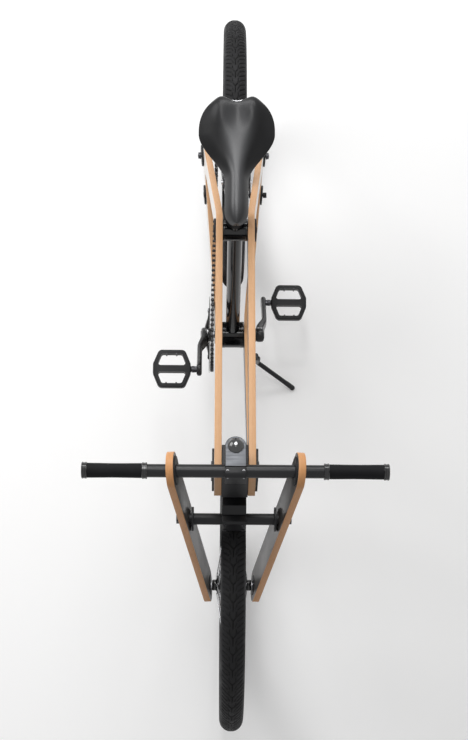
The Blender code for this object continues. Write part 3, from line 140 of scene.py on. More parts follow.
class Piece:
    """A mesh gathered from grids of points, in bicycle coordinates."""

    def __init__(self, name):
        self.name = name
        self.points, self.faces, self.kinds, self.tags, self.count = [], [], [], [], 0

    def add(self, points, faces, kind, tag):
        """Points with the faces between them. tag gives each point three numbers to keep."""
        self.points.append(points.reshape(-1, 3))
        self.faces.extend(faces)
        self.kinds.extend([kind] * len(faces))
        self.tags.append(np.broadcast_to(tag, points.shape).reshape(-1, 3))
        self.count += len(self.points[-1])
        return self

    def grid(self, points, along=False, kind=0, tag=0):
        """Quads between neighbouring points of a grid of rows and columns. Each row is a ring, and along
        joins the last row to the first."""
        points = np.asarray(points, float)
        index = np.arange(points.shape[0] * points.shape[1]).reshape(points.shape[:2]) + self.count
        index = np.concatenate([index, index[:, :1]], 1)
        if along:
            index = np.concatenate([index, index[:1]], 0)
        quads = np.stack([index[:-1, :-1], index[:-1, 1:], index[1:, 1:], index[1:, :-1]], -1).reshape(-1, 4)
        return self.add(points, quads.tolist(), kind, tag)

    def skin(self, rows, kind=0, edge_kind=None, tag=None):
        """Rings joined into a closed skin, with a flat face over each end."""
        tag = np.zeros((len(rows), 1, 1)) if tag is None else tag
        self.grid(rows, kind=kind if edge_kind is None else edge_kind, tag=tag)
        for end in (0, -1):
            loop = np.asarray(rows[end], float)
            self.add(loop, [list(range(self.count, self.count + len(loop)))], kind, tag[end])
        return self

    def turned(self, profile, origin, axis, steps=48, kind=0, closed=False, bend=0):
        """A profile carried round an axis. A closed one is a ring. bend moves the points out with the panel
        on that side."""
        along = unit(axis)
        first = unit((0.3, 0.2, 1) - along * np.dot((0.3, 0.2, 1), along))
        angle = full_turn(steps)
        round_way = np.cos(angle)[:, None] * first + np.sin(angle)[:, None] * np.cross(along, first)
        rings = []
        for radius, distance, *flats in profile:
            reach = np.full(steps, float(radius))
            if flats:
                half = np.pi / flats[0]
                reach *= math.cos(half) / np.cos(angle % (2 * half) - half)
            rings.append(origin + distance * along + reach[:, None] * round_way)
        points = np.array(rings)
        if bend:
            points[..., 1] += bend * spread(points[..., 0], points[..., 2])
        return self.grid(points, closed, kind)

    def tube(self, path, radius, sides=16):
        """A round section carried along a path. Each ring is square to the path, and its own first
        direction is what is left of the last ring's."""
        path = np.asarray(path, float)
        heading = np.gradient(path, axis=0)
        heading /= np.linalg.norm(heading, axis=1)[:, None]
        side, first = at(0, 0, 1), []
        for way in heading:
            side = unit(side - way * np.dot(side, way))
            first.append(side)
        second = np.cross(heading, first)[:, None]
        angle = full_turn(sides)[None, :, None]
        ring = np.cos(angle) * np.array(first)[:, None] + np.sin(angle) * second
        points = path[:, None] + np.broadcast_to(radius, len(path))[:, None, None] * ring
        ends = [np.repeat(path[end, None, None], sides, 1) for end in (0, -1)]
        return self.grid(np.concatenate([ends[0], points, ends[1]], 0))

    def plate(self, outline, origin, axes, low, high, bevel=0.8, steps=2, kind=0, edge_kind=None):
        """An outline of (u, v) points, thick from low to high along the third axis, its two rims rounded:
        each loop in from the face is the outline moved in along its own normals by a quarter circle."""
        outline = np.asarray(outline, float)
        length = length_along(outline) / 1000
        loops, tags = [], []
        for inset, level in rounded_edge(bevel, high - low, steps):
            flat = outline - outline_normals(outline) * inset
            loops.append(origin + flat @ axes[:2] + (low + level) * axes[2])
            tags.append(np.stack([length, 0 * length + level / (high - low), 0 * length], 1))
        return self.skin(loops, kind, edge_kind, None if edge_kind is None else np.array(tags))

    def head(self, origin, axis, radius, height, socket, kind=1, steps=36):
        """A round bolt head with a chamfer and a hexagonal socket, standing on its origin."""
        chamfer, deep = radius * 0.12, height * 0.3
        profile = [(0, deep), (socket * 0.96, deep, 6), (socket, deep + 0.2, 6), (socket, height - 0.3, 6)]
        profile += [(socket + 0.5, height), (radius - chamfer, height), (radius, height - chamfer), (radius, 0)]
        return self.turned(profile, origin, axis, steps, kind)

    def mesh_object(self, materials=(), smooth=40):
        """The mesh as an object in the row, its seams and poles merged and its faces turned outwards."""
        points = (np.concatenate(self.points) @ upright_turn.T + upright_place) / 1000
        mesh = bpy.data.meshes.new(self.name)
        mesh.from_pydata(points.tolist(), [], self.faces)
        mesh.polygons.foreach_set("material_index", self.kinds)
        tags = np.concatenate(self.tags)
        if tags.any():
            mesh.attributes.new("pattern", "FLOAT_VECTOR", "POINT").data.foreach_set("vector", tags.ravel())
        mesh.shade_smooth()
        bm = bmesh.new()
        bm.from_mesh(mesh)
        bmesh.ops.remove_doubles(bm, verts=bm.verts, dist=1e-6)
        bmesh.ops.recalc_face_normals(bm, faces=bm.faces)
        bm.to_mesh(mesh)
        bm.free()
        mesh.set_sharp_from_angle(angle=math.radians(smooth))
        made = bpy.data.objects.new(self.name, mesh)
        link(made)
        for material in materials:
            mesh.materials.append(material)
        return made

    def build(self, body, materials, slot=None, replaces=(), smooth=40, cuts=()):
        """Makes the mesh and lets it ride on a body, in place of any nodes, with closed shapes cut out."""
        made = self.mesh_object(materials if isinstance(materials, list) else [materials], smooth)
        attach(made, body)
        if replaces:
            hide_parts(*replaces)
        for cut in cuts:
            tool = cut.mesh_object()
            boolean = made.modifiers.new("cut", "BOOLEAN")
            boolean.operation, boolean.solver, boolean.object = "DIFFERENCE", "EXACT", tool
            mesh = bpy.data.meshes.new_from_object(made.evaluated_get(bpy.context.evaluated_depsgraph_get()))
            made.modifiers.clear()
            old, made.data = made.data, mesh
            mesh.name = made.name
            bpy.data.meshes.remove(old)
            bpy.data.objects.remove(tool)
            mesh.set_sharp_from_angle(angle=math.radians(35))
        return made


def bore(start, end, radius):
    """A plain round cutter between two points."""
    length = np.linalg.norm(end - start)
    return Piece("bore_tool").turned([(0, 0), (radius, 0), (radius, length), (0, length)], start, end - start)


# Materials


def maths(operation):
    """A method that adds the Math node of this kind."""
    return lambda self, *others: self.shader.node("ShaderNodeMath", {"operation": operation}, self, *others)


class Value:
    """A shader socket that takes part in sums. Each sum adds its Math node."""

    __add__ = __radd__ = maths("ADD")
    __sub__ = maths("SUBTRACT")
    __mul__ = __rmul__ = maths("MULTIPLY")
    __truediv__ = maths("DIVIDE")
    sin, abs, larger = maths("SINE"), maths("ABSOLUTE"), maths("MAXIMUM")
    floor, fract = maths("FLOOR"), maths("FRACT")

    def __init__(self, shader, socket):
        self.shader, self.socket = shader, socket

    def __rsub__(self, other):
        return self.shader.node("ShaderNodeMath", {"operation": "SUBTRACT"}, other, self)

    def ramp(self, low, high, to_low=0.0, to_high=1.0):
        """From one value to another between two inputs, smoothly and no further."""
        settings = {"interpolation_type": "SMOOTHSTEP"}
        return self.shader.node("ShaderNodeMapRange", settings, self, low, high, to_low, to_high)


class Shader:
    """A node tree, written as expressions."""

    def __init__(self, tree):
        self.tree = tree

    def node(self, kind, settings, *values, out=0, **named):
        """Adds a node: its settings first, then the values or links of its sockets, by order or by name."""
        made = self.tree.nodes.new(kind)
        for setting, value in settings.items():
            setattr(made, setting, value)
        for socket, value in [*enumerate(values), *named.items()]:
            self.join(made.inputs[socket], value)
        return Value(self, made.outputs[out])

    def join(self, socket, value):
        if isinstance(value, Value):
            self.tree.links.new(value.socket, socket)
        else:
            socket.default_value = (*value[:3], 1) if socket.type == "RGBA" else value

    def seen_by(self):
        """Whether a ray is the camera's, a reflection's or one through glass, as three values."""
        kinds = ("Camera", "Glossy", "Transmission")
        return [self.node("ShaderNodeLightPath", {}, out=f"Is {kind} Ray") for kind in kinds]


class Finish(Shader):
    """A procedural material."""

    def __init__(self, name, roughness=0.5, metallic=0.0, **sockets):
        self.material = bpy.data.materials.new(name)
        self.material.use_nodes = True
        super().__init__(self.material.node_tree)
        self.surface = self.tree.nodes["Principled BSDF"]
        for socket, value in {"Roughness": roughness, "Metallic": metallic, **sockets}.items():
            self.set(socket.replace("_", " "), value)
        self.place = self.node("ShaderNodeTexCoord", {}, out="Object")

    def set(self, socket, value):
        self.join(self.surface.inputs[socket], value)

    def noise(self, scale, detail=3.0, roughness=0.5, where=None):
        where = where or self.place
        return self.node("ShaderNodeTexNoise", {}, Vector=where, Scale=scale, Detail=detail, Roughness=roughness)

    def stretched(self, scale, turn=(0, 0, 0)):
        """Coordinates turned and drawn out, so a pattern runs along one direction."""
        return self.node("ShaderNodeMapping", {}, Vector=self.place, Scale=scale, Rotation=turn)

    def parts(self, where):
        """The three coordinates apart."""
        split = self.tree.nodes.new("ShaderNodeSeparateXYZ")
        self.join(split.inputs[0], where)
        return [Value(self, output) for output in split.outputs]

    def joined(self, *numbers):
        """Three numbers as coordinates."""
        return self.node("ShaderNodeCombineXYZ", {}, *numbers)

    def kept(self):
        """The three numbers that a piece keeps at each of its points."""
        return self.parts(self.node("ShaderNodeAttribute", {"attribute_name": "pattern"}, out="Vector"))

    def mix(self, share, first, second):
        made = self.node("ShaderNodeMix", {"data_type": "RGBA"}, out=2, Factor=share)
        for socket, colour in ((6, first), (7, second)):
            self.join(made.socket.node.inputs[socket], colour)
        return made

    def bump(self, height, distance, strength):
        """The last step of a finish: its relief, with the distance in metres. Gives the material."""
        self.set("Normal", self.node("ShaderNodeBump", {}, Height=height, Distance=distance, Strength=strength))
        return self.material


def painted(name, colour, roughness, coat=0.0, grain=0.25, specular=0.22, metallic=0.0):
    """Powder coat or anodised metal: a fine orange peel, uneven gloss and faint cloudy colour."""
    finish = Finish(name, roughness, metallic, Coat_Weight=coat, Coat_Roughness=0.12, Specular_IOR_Level=specular)
    cloud = finish.noise(9.0, 4.0)
    finish.set("Base Color", finish.mix(cloud.ramp(0.35, 0.75), colour, [c * 1.24 + 0.0018 for c in colour]))
    finish.set("Roughness", cloud.ramp(0.3, 0.7, roughness * 0.85, roughness * 1.15))
    return finish.bump(finish.noise(900.0, 2.0), 0.0002, grain)


def brushed(name, colour, roughness=0.3, metallic=1.0):
    """Bright steel or aluminium with fine scratches and a few dull clouds."""
    finish = Finish(name, roughness, metallic)
    scratch = finish.noise(260.0, where=finish.stretched((1, 0.06, 1)))
    finish.set("Base Color", finish.mix(finish.noise(20.0).ramp(0.4, 0.75), colour, [c * 0.8 for c in colour]))
    finish.set("Roughness", scratch.ramp(0.3, 0.7, roughness * 0.75, roughness * 1.35))
    return finish.bump(scratch, 0.00015, 0.2)


def plywood_edges(name, tint):
    """The sawn edge of plywood. Plies run along it, in turn lighter and darker, with pores drawn out along
    the edge, faint glue lines between them and slow changes of colour. The pattern holds the distance
    along the edge and the share of the thickness."""
    finish = Finish(name, 0.42, Coat_Weight=0.12, Coat_Roughness=0.28, Specular_IOR_Level=0.25)
    along, through, _ = finish.kept()
    plies = through * 11.0
    layer = plies.floor()
    line = (plies.fract() - 0.5).abs() * 2.0
    grain = finish.noise(1.0, 5.0, 0.6, finish.joined(along * 60.0, through * 30.0, layer * 3.7))
    pores = finish.noise(1.0, 3.0, 0.7, finish.joined(along * 260.0, through * 70.0, layer * 1.3))
    slow = finish.noise(1.0, 2.0, 0.5, finish.joined(along * 5.0, 0.0, 0.0))
    light = finish.mix(grain.ramp(0.3, 0.7), (0.70, 0.425, 0.235), (0.61, 0.35, 0.175))
    dark = finish.mix(grain.ramp(0.3, 0.7), (0.61, 0.352, 0.18), (0.51, 0.27, 0.128))
    wood = finish.mix((layer * 0.5).fract() * 2.0, light, dark)
    wood = finish.mix(slow.ramp(0.35, 0.75, 0.0, 0.35), wood, (0.60, 0.33, 0.16))
    wood = finish.mix(line.ramp(0.86, 1.0, 0.0, 0.35), wood, (0.42, 0.20, 0.09))
    wood = finish.mix(pores.ramp(0.6, 0.75, 0.0, 0.4), wood, (0.36, 0.17, 0.08))
    finish.set("Base Color", finish.node("ShaderNodeVectorMath", {"operation": "MULTIPLY"}, wood, tint))
    finish.set("Roughness", grain.ramp(0.3, 0.7, 0.36, 0.5))
    return finish.bump(grain + line.ramp(0.8, 1.0) * -0.5, 0.0003, 0.35)


def laminate(name, colour, other, roughness):
    """A thin hard face on plywood: fine straight grain under lacquer, with cloudy colour."""
    finish = Finish(name, roughness, Coat_Weight=0.25, Coat_Roughness=0.2)
    grain = finish.noise(1.0, 5.0, 0.6, finish.stretched((14.0, 60.0, 160.0), (0, 0.35, 0)))
    cloud = finish.noise(4.0)
    wood = finish.mix(grain.ramp(0.35, 0.7), colour, other)
    finish.set("Base Color", finish.mix(cloud.ramp(0.4, 0.8, 0.0, 0.5), wood, [c * 0.93 for c in colour]))
    finish.set("Roughness", cloud.ramp(0.3, 0.7, roughness * 0.85, roughness * 1.15))
    return finish.bump(grain, 0.0002, 0.2)


def make_tyre_rubber():
    """Black rubber: dusty grey where the tread meets the road, free of dust in its grooves and darkened there by
    painted shade, with fine moulding lines on the sidewalls. The pattern holds the groove's depth and the angle round
    the section."""
    finish = Finish("tyre_rubber", 0.62, Specular_IOR_Level=0.14)
    deep, angle, _ = finish.kept()
    dust = finish.noise(45.0, 4.0)
    rubber = finish.mix(finish.noise(7.0).ramp(0.35, 0.7), (0.010, 0.010, 0.011), (0.016, 0.016, 0.017))
    wear_and_sheen = (1 - angle.ramp(0.5, 0.95)) * (1 - deep) * dust.ramp(0.35, 0.7)
    rubber = finish.mix(wear_and_sheen * 0.6, rubber, (0.018, 0.0178, 0.0175))
    # Painted shade: the grooves are darkened below the rubber's own colour.
    finish.set("Base Color", finish.mix(deep * 0.75, rubber, (0.004, 0.004, 0.004)))
    finish.set("Roughness", dust.ramp(0.3, 0.7, 0.52, 0.72))
    lines = (angle * 90.0).sin() * angle.ramp(1.15, 1.25)
    return finish.bump(lines * 0.3 + finish.noise(700.0, 2.0), 0.0002, 0.35)


def make_leather():
    """Black saddle leather: pebbled grain in two sizes, creases that run across where it bends, a satin sheen, a pale
    strip along the lower edge that is partly piping and partly a painted edge highlight, and more polish along the
    middle, where a painted sheen also lightens the colour. The pattern holds the place on the saddle."""
    finish = Finish("leather", 0.36, Specular_IOR_Level=0.14, Coat_Roughness=0.34)
    cells = finish.node("ShaderNodeTexVoronoi", {"feature": "DISTANCE_TO_EDGE"}, Vector=finish.place, Scale=620.0)
    pores = finish.noise(1500.0, 2.0)
    cloud = finish.noise(16.0, 4.0)
    crease = finish.noise(1.0, 4.0, 0.6, finish.stretched((220.0, 40.0, 60.0)))
    hide = finish.mix(cloud.ramp(0.35, 0.7), (0.008, 0.008, 0.0088), (0.013, 0.013, 0.014))
    along, side, drop = finish.kept()
    # The middle of the seat gets a heavier coat, for polish by use, and a painted sheen that lightens its colour in
    # place of the lamps' reflection.
    wear_and_sheen = (side.abs() / along.ramp(0.03, 0.17, 0.060, 0.022)).ramp(0.1, 1.0, 1.0, 0.0)
    wear_and_sheen = wear_and_sheen * along.ramp(0.01, 0.13, 0.35, 1.0) * along.ramp(0.24, 0.285, 1.0, 0.3)
    finish.set("Coat Weight", wear_and_sheen * 0.8 + 0.04)
    # Painted sheen: the colour is lightened along the middle.
    hide = finish.mix(wear_and_sheen * 0.8 * cloud.ramp(0.2, 0.5, 0.7, 1.0), hide, (0.052, 0.053, 0.057))
    # A pale strip along the lower edge: partly piping, partly a painted edge highlight.
    piping_and_edge_highlight = drop.ramp(0.0008, 0.0016) * (1 - drop.ramp(0.0044, 0.0060)) * along.ramp(0.10, 0.16)
    hide = finish.mix(piping_and_edge_highlight, hide, (0.30, 0.30, 0.31))
    finish.set("Base Color", finish.mix(cells.ramp(0.0, 0.12, 0.35, 0.0), hide, (0.010, 0.010, 0.010)))
    finish.set("Roughness", cloud.ramp(0.3, 0.7, 0.30, 0.38) + cells.ramp(0.0, 0.12, 0.08, 0.0))
    return finish.bump(cells.ramp(0.0, 0.14) + pores * 0.1 + crease * 0.3, 0.0001, 0.04)


def make_plastic():
    """Moulded black plastic with a fine spark-eroded texture."""
    finish = Finish("black_plastic", 0.5, Specular_IOR_Level=0.25)
    texture = finish.noise(1200.0)
    tone = finish.noise(12.0).ramp(0.35, 0.7)
    finish.set("Base Color", finish.mix(tone, (0.012, 0.012, 0.013), (0.019, 0.019, 0.020)))
    finish.set("Roughness", texture.ramp(0.3, 0.7, 0.42, 0.6))
    return finish.bump(texture, 0.0002, 0.5)


def make_seatpost():
    """Anodised black with faint rings and lengthwise rubs from the seat tube."""
    finish = Finish("seatpost_black", 0.3, 0.1, Specular_IOR_Level=0.3)
    rings = finish.noise(1.0, where=finish.stretched((6.0, 6.0, 900.0)))
    rubs = finish.noise(1.0, 4.0, where=finish.stretched((420.0, 420.0, 14.0))).ramp(0.62, 0.75, 0.0, 0.5)
    finish.set("Base Color", finish.mix(rubs, (0.012, 0.012, 0.013), (0.07, 0.07, 0.073)))
    finish.set("Roughness", rings.ramp(0.3, 0.7, 0.22, 0.4))
    return finish.bump(rings, 0.00008, 0.3)


def make_grip_rubber():
    """Grip rubber with a fine crosshatch and a faint shine where hands have rubbed it."""
    finish = Finish("grip_rubber", 0.62, Specular_IOR_Level=0.08)
    x, y, z = finish.parts(finish.place)
    cloud = finish.noise(14.0)
    finish.set("Base Color", finish.mix(cloud.ramp(0.35, 0.7), (0.009, 0.009, 0.010), (0.015, 0.015, 0.0165)))
    finish.set("Roughness", cloud.ramp(0.3, 0.7, 0.52, 0.7))
    return finish.bump((y * 2600.0).sin() * 0.5 + ((x + z) * 2600.0).sin() * 0.5, 0.00015, 0.4)


black_gloss = painted("black_gloss", (0.006, 0.006, 0.007), 0.12, 0.3, 0.1, 0.25)
black_satin = painted("black_satin", (0.010, 0.010, 0.0112), 0.38)
black_matt = painted("black_matt", (0.014, 0.014, 0.015), 0.6, grain=0.4)
rim_black = painted("rim_black", (0.010, 0.010, 0.011), 0.28, 0.1, 0.1, metallic=0.1)
bar_black = painted("bar_black", (0.006, 0.006, 0.0072), 0.30, 0.0, 0.08, 0.30)
cap_gloss = painted("cap_gloss", (0.005, 0.005, 0.006), 0.08, 0.8, 0.03, 0.5)
ring_black = painted("ring_black", (0.006, 0.006, 0.007), 0.12, 0.6, 0.05)
crank_black = painted("crank_black", (0.008, 0.008, 0.009), 0.26, 0.2, 0.1)
pedal_black = painted("pedal_black", (0.009, 0.009, 0.010), 0.42, 0.0, 0.3, 0.18)
steel = brushed("steel", (0.62, 0.62, 0.64))
dark_steel = brushed("dark_steel", (0.06, 0.06, 0.065), 0.35)
# Painted reflection: a grey that stands in for the overhead light on the stem's black satin faces.
stem_painted_sheen = brushed("stem_painted_sheen", (0.105, 0.109, 0.118), 0.42, 0.8)
chain_black = brushed("chain_black", (0.035, 0.034, 0.033), 0.38, 0.7)
plywood_edge = plywood_edges("plywood_edge", (1.0, 1.0, 1.0))
blade_edge = plywood_edges("blade_edge", (0.98, 0.84, 0.68))
pale_laminate = laminate("pale_laminate", (0.74, 0.70, 0.65), (0.70, 0.655, 0.60), 0.35)
dark_laminate = laminate("dark_laminate", (0.070, 0.064, 0.060), (0.052, 0.047, 0.044), 0.4)
tyre_rubber, leather, grip_rubber = make_tyre_rubber(), make_leather(), make_grip_rubber()
black_plastic, seatpost_black = make_plastic(), make_seatpost()

# Panels and blades. A side view is a list of (x, z) points.

corner_radius, disc_thickness, stay_forward = 12, 4.5, 98
head_rear_reach, head_front_reach = 36, 30


def spread(x, z):
    """How far a panel has moved outwards at a side-view point. It bends along the seat tube's line: the
    slope grows evenly over the bend and then stays."""
    behind = -(x - crank_axis[0]) * math.sin(seat_angle) - (z - crank_axis[2]) * math.cos(seat_angle)
    bent = np.clip(behind, 0, panel_bend)
    return panel_spread * (bent**2 / (2 * panel_bend) + np.maximum(behind - panel_bend, 0))


def on_panel(view, out, side):
    """A side view's points this far outside a panel's inner face."""
    x, z = view.T
    return np.stack([x, side * (half_gap + out + spread(x, z)), z], -1)


def band(circles, step=math.radians(4)):
    """A taut band round circles given as (x, y, radius), counterclockwise, and each straight's outward angle."""
    circles = np.asarray(circles, float)
    ahead = np.roll(circles, -1, 0)
    way = ahead - circles
    length = np.hypot(way[:, 0], way[:, 1])
    turn = np.arctan2(way[:, 1], way[:, 0]) - np.arccos((circles[:, 2] - ahead[:, 2]) / length)
    points = []
    for i, circle in enumerate(circles):
        swing = (turn[i] - turn[i - 1]) % (2 * math.pi)
        points.append(on_circle(*circle, turn[i - 1] + np.linspace(0, swing, max(2, math.ceil(swing / step) + 1))))
    return np.concatenate(points), turn


def rounded(corners, radii, step=math.radians(6)):
    """A counterclockwise polygon with each corner rounded, by less where its sides are too short."""
    corners = np.asarray(corners, float)
    points = []
    for i, radius in enumerate(np.broadcast_to(radii, len(corners))):
        here = corners[i]
        back, ahead = corners[i - 1] - here, corners[(i + 1) % len(corners)] - here
        shortest = min(np.linalg.norm(back), np.linalg.norm(ahead))
        back, ahead = unit(back), unit(ahead)
        half = math.acos(np.clip(back @ ahead, -1, 1)) / 2
        radius = min(radius, 0.49 * shortest * math.tan(half))
        middle = here + unit(back + ahead) * radius / math.sin(half)
        start = here + back * radius / math.tan(half) - middle
        turn = math.pi - 2 * half
        angle = math.atan2(start[1], start[0]) + np.linspace(0, turn, max(2, math.ceil(turn / step) + 1))
        points.append(on_circle(*middle, radius, angle))
    return np.concatenate(points)


def box(x0, y0, x1, y1, radii):
    return rounded([(x0, y0), (x1, y0), (x1, y1), (x0, y1)], radii)


def finer(outline, spacing=8):
    """The outline with more points on its long sides."""
    points = []
    for here, ahead in zip(outline, np.roll(outline, -1, 0)):
        count = max(1, math.ceil(np.linalg.norm(ahead - here) / spacing))
        points.append(here + (ahead - here) * (np.arange(count) / count)[:, None])
    return np.concatenate(points)


def crossing(a, b, c, d):
    """Where the line through a and b meets the line through c and d."""
    along, other, apart = b - a, d - c, c - a
    share = (apart[0] * other[1] - apart[1] * other[0]) / (along[0] * other[1] - along[1] * other[0])
    return a + along * share


def panel_view():
    """The side view of a panel: its rim, its opening and the line above the lower rear arm. The rim is a
    taut band round five circles, and each side of the opening lies at its own depths in from the rim."""
    front = head_front_reach - corner_radius
    low = steered(front, 0, head_bottom + corner_radius)
    high = steered(front, 0, head_top - corner_radius)
    circles = [(rear_axle, 36), (crank_axis, 50), (low, corner_radius), (high, corner_radius), (seat_node, 40)]
    nodes = [(middle[0], middle[2], radius) for middle, radius in circles]
    rim, turn = band(nodes)
    lines = []
    for i, depths in enumerate([(56, 90), (90, 58), (104, 104), (60, 70), (70, 56)]):
        outward = at(math.cos(turn[i]), math.sin(turn[i]))
        ends = zip((nodes[i], nodes[(i + 1) % 5]), depths)
        lines.append([at(*node[:2]) + outward * (node[2] - depth) for node, depth in ends])
    corners = [crossing(*lines[i - 1], *lines[i]) for i in range(5)]
    return rim, rounded(corners, [18, 36, 36, 36, 36]), lines[0]


def seen_from(middle, loops, closest=4e-4):
    """The loops' points in the same directions from a middle: every direction that either has a point in."""
    angles = [np.arctan2(*(loop - middle).T[::-1]) for loop in loops]
    shared = np.sort(np.concatenate(angles))
    shared = shared[np.concatenate([[True], np.diff(shared) > closest])]
    matched = []
    for loop, angle in zip(loops, angles):
        order = np.argsort(angle)
        matched.append(np.stack([np.interp(shared, angle[order], part[order], period=2 * np.pi) for part in loop.T], 1))
    return matched


def build_panel(side, word):
    """A bent plywood panel: its side view swept out by the bend, with a pale outer face, a dark inner face
    and edges that show the plies."""
    rim, opening, _ = panel_view()
    loops = seen_from(opening.mean(0), [finer(rim), finer(opening)])
    normals = [-outline_normals(loops[0]), outline_normals(loops[1])]
    lengths = [length_along(loop) / 1000 for loop in loops]
    piece = Piece(f"panel_{word}")

    def surface(views, levels, lengths, kind):
        tags = [np.stack([length, 0 * length + level / ply, 0 * length], 1) for level, length in zip(levels, lengths)]
        piece.grid([on_panel(view, level, side) for view, level in zip(views, levels)], kind=kind, tag=tags)

    edge = rounded_edge(0.9, ply)
    for loop, normal, length in zip(loops, normals, lengths):
        surface([loop + normal * inset for inset, _ in edge], [level for _, level in edge], [length] * len(edge), 1)
    rim_line, opening_line = (loop + normal * edge[0][0] for loop, normal in zip(loops, normals))
    shares = np.linspace(0, 1, 11)
    rows = [opening_line + (rim_line - opening_line) * share for share in shares]
    for level, kind in ((0.0, 2), (ply, 0)):
        surface(rows, [level] * 11, [lengths[1] * (1 - share) + lengths[0] * share for share in shares], kind)
    finishes = [pale_laminate, plywood_edge, dark_laminate]
    piece.build("frame", finishes, "plywood", [f"frame_panel_{word}"], 50)


blade_slope = (blade_bar_y - blade_axle_y) / bar_height
half_blade = ply / 2 * math.hypot(1, blade_slope)


def blade_middle(height):
    return blade_axle_y + blade_slope * height


def blade_axes(side):
    """Up along a blade, and straight out of it."""
    up, out = unit((1, blade_slope))
    return steer_up * up + left * side * out, left * side * up - steer_up * out


def build_blade(side, word):
    """A fork blade: a long board with round ends, close to the wheel at the axle and far out at the bar."""
    rise = math.hypot(bar_height, blade_bar_y - blade_axle_y)
    outline = finer(band([(0, 0, blade_width / 2), (rise, 0, blade_width / 2)])[0], 20)
    along, across = blade_axes(side)
    piece = Piece(f"blade_{word}")
    axes = np.array([along, steer_forward * side, across * side])
    piece.plate(outline, steered(fork_offset, side * blade_axle_y, 0), axes, -ply / 2, ply / 2, 0.9, 3, 0, 1)
    piece.kinds[-1 if side < 0 else -2] = 2
    finishes = [pale_laminate, blade_edge, dark_laminate]
    piece.build("fork", finishes, "plywood", [f"fork_blade_{word}"], 50)


def build_panel_discs():
    """The discs on the panels with their bolts, as turned plates that follow the panel's bend."""
    low = ply + gap
    high = low + disc_thickness
    line = panel_view()[2]
    share = stay_forward / (crank_axis[0] - rear_axle[0])
    rim_low = rear_axle[2] - 36 + (crank_axis[2] - rear_axle[2] - 14) * share
    opening_low = line[0][1] + (line[1][1] - line[0][1]) * share
    stay = at(rear_axle[0] + stay_forward, 0, (rim_low + opening_low) / 2)
    discs = [("seat_bolt", seat_node, 26, 0, 0.2), ("dropout_disc", rear_axle, 27, 5.5, 0)]
    discs += [("stay_disc", stay, 24.5, 4.5, 1)]
    for node, middle, radius, bore_radius, lean in discs:
        for side, word in sides:
            bolted = node == "seat_bolt" or (node == "stay_disc" and side < 0)
            hole = 0 if bolted else bore_radius
            origin = middle + left * side * half_gap
            profile = [(hole, low), (radius - 0.9, low), (radius, low + 0.9), (radius, high - 1.1)]
            profile += [(radius - 1.1, high), (radius * 0.8, high), (radius * 0.78, high - 0.5), (hole, high - 0.5)]
            piece = Piece(f"{node}_{word}_disc")
            piece.turned(profile, origin, left * side, 72, bend=side, closed=not bolted)
            if bolted:
                turn = math.atan(panel_spread) * lean
                axis = at(math.sin(seat_angle) * math.sin(turn), side * math.cos(turn), 0)
                out = high - 0.6 + spread(middle[0], middle[2])
                piece.head(origin + left * side * out, axis, 7.5, 2, 3.6)
            piece.build("frame", [black_satin, black_gloss], "black_metal", [f"{node}_{word}"])
    return stay


def build_head_plate(side, word):
    """The black plate over a panel's front end, with rounded corners and two screws."""
    outline = finer(box(-head_rear_reach, head_bottom + 6, head_front_reach - 6, head_top - 6, 16), 30)
    out = side * (half_gap + ply + gap)
    axes = np.array([steer_forward, steer_up, left * side])
    piece = Piece(f"head_plate_{word}_cover")
    piece.plate(outline[::-side], steer_foot + left * out, axes, 0, disc_thickness, 0.7)
    for height in (head_bottom + 24, head_top - 24):
        piece.head(steered(-3, out + side * (disc_thickness - 0.4), height), left * side, 5.8, 2.2, 2.7)
    piece.build("frame", [black_satin, dark_steel], "black_metal", [f"head_plate_{word}"])


for side, word in sides:
    build_panel(side, word)
    build_blade(side, word)
stay_place = build_panel_discs()
for side, word in sides:
    build_head_plate(side, word)

# Wheels

rim_radius, rim_width, rim_depth, spoke_count = 282.5, 34, 20, 32
tread_middle = wheel_radius - tyre_radius * math.cos(math.radians(13))
tread_repeats, tread_depth = 54, 1.8


def near_line(x, y, start, end, width):
    """How far a groove with this width goes down at each point, from 0 to 1, with soft edges: by the
    distance from the stretch between its two ends."""
    (ax, ay), (bx, by) = start, end
    share = np.clip(((x - ax) * (bx - ax) + (y - ay) * (by - ay)) / ((bx - ax) ** 2 + (by - ay) ** 2), 0, 1)
    away = np.hypot(x - ax - share * (bx - ax), y - ay - share * (by - ay))
    return np.clip((width / 2 + 0.5 - away) / 0.7, 0, 1)


def tread_grooves(along, across):
    """How deep the tread's grooves are, from 0 to 1. along is the share of one repeat and across the
    distance from the middle: a slit that forks into two arms, and slanted shoulder grooves."""
    lines = [((0, 0), (17, 0), 1.5), ((17, 0), (25, 6.5), 1.7), ((25, 6.5), (37, 7.5), 1.3)]
    lines += [((25, 6.5), (29, 12.5), 1.5), ((5, 5.5), (14, 8.5), 1.2)]
    lines += [((start, 11), (start + 8, 25), 2.0) for start in (4.0, 17.0, 30.0)]
    pitch = 39.0
    depths = [near_line((along + turn) * pitch, np.abs(across), *line) for turn in (-1, 0, 1) for line in lines]
    return np.max(depths, axis=0)


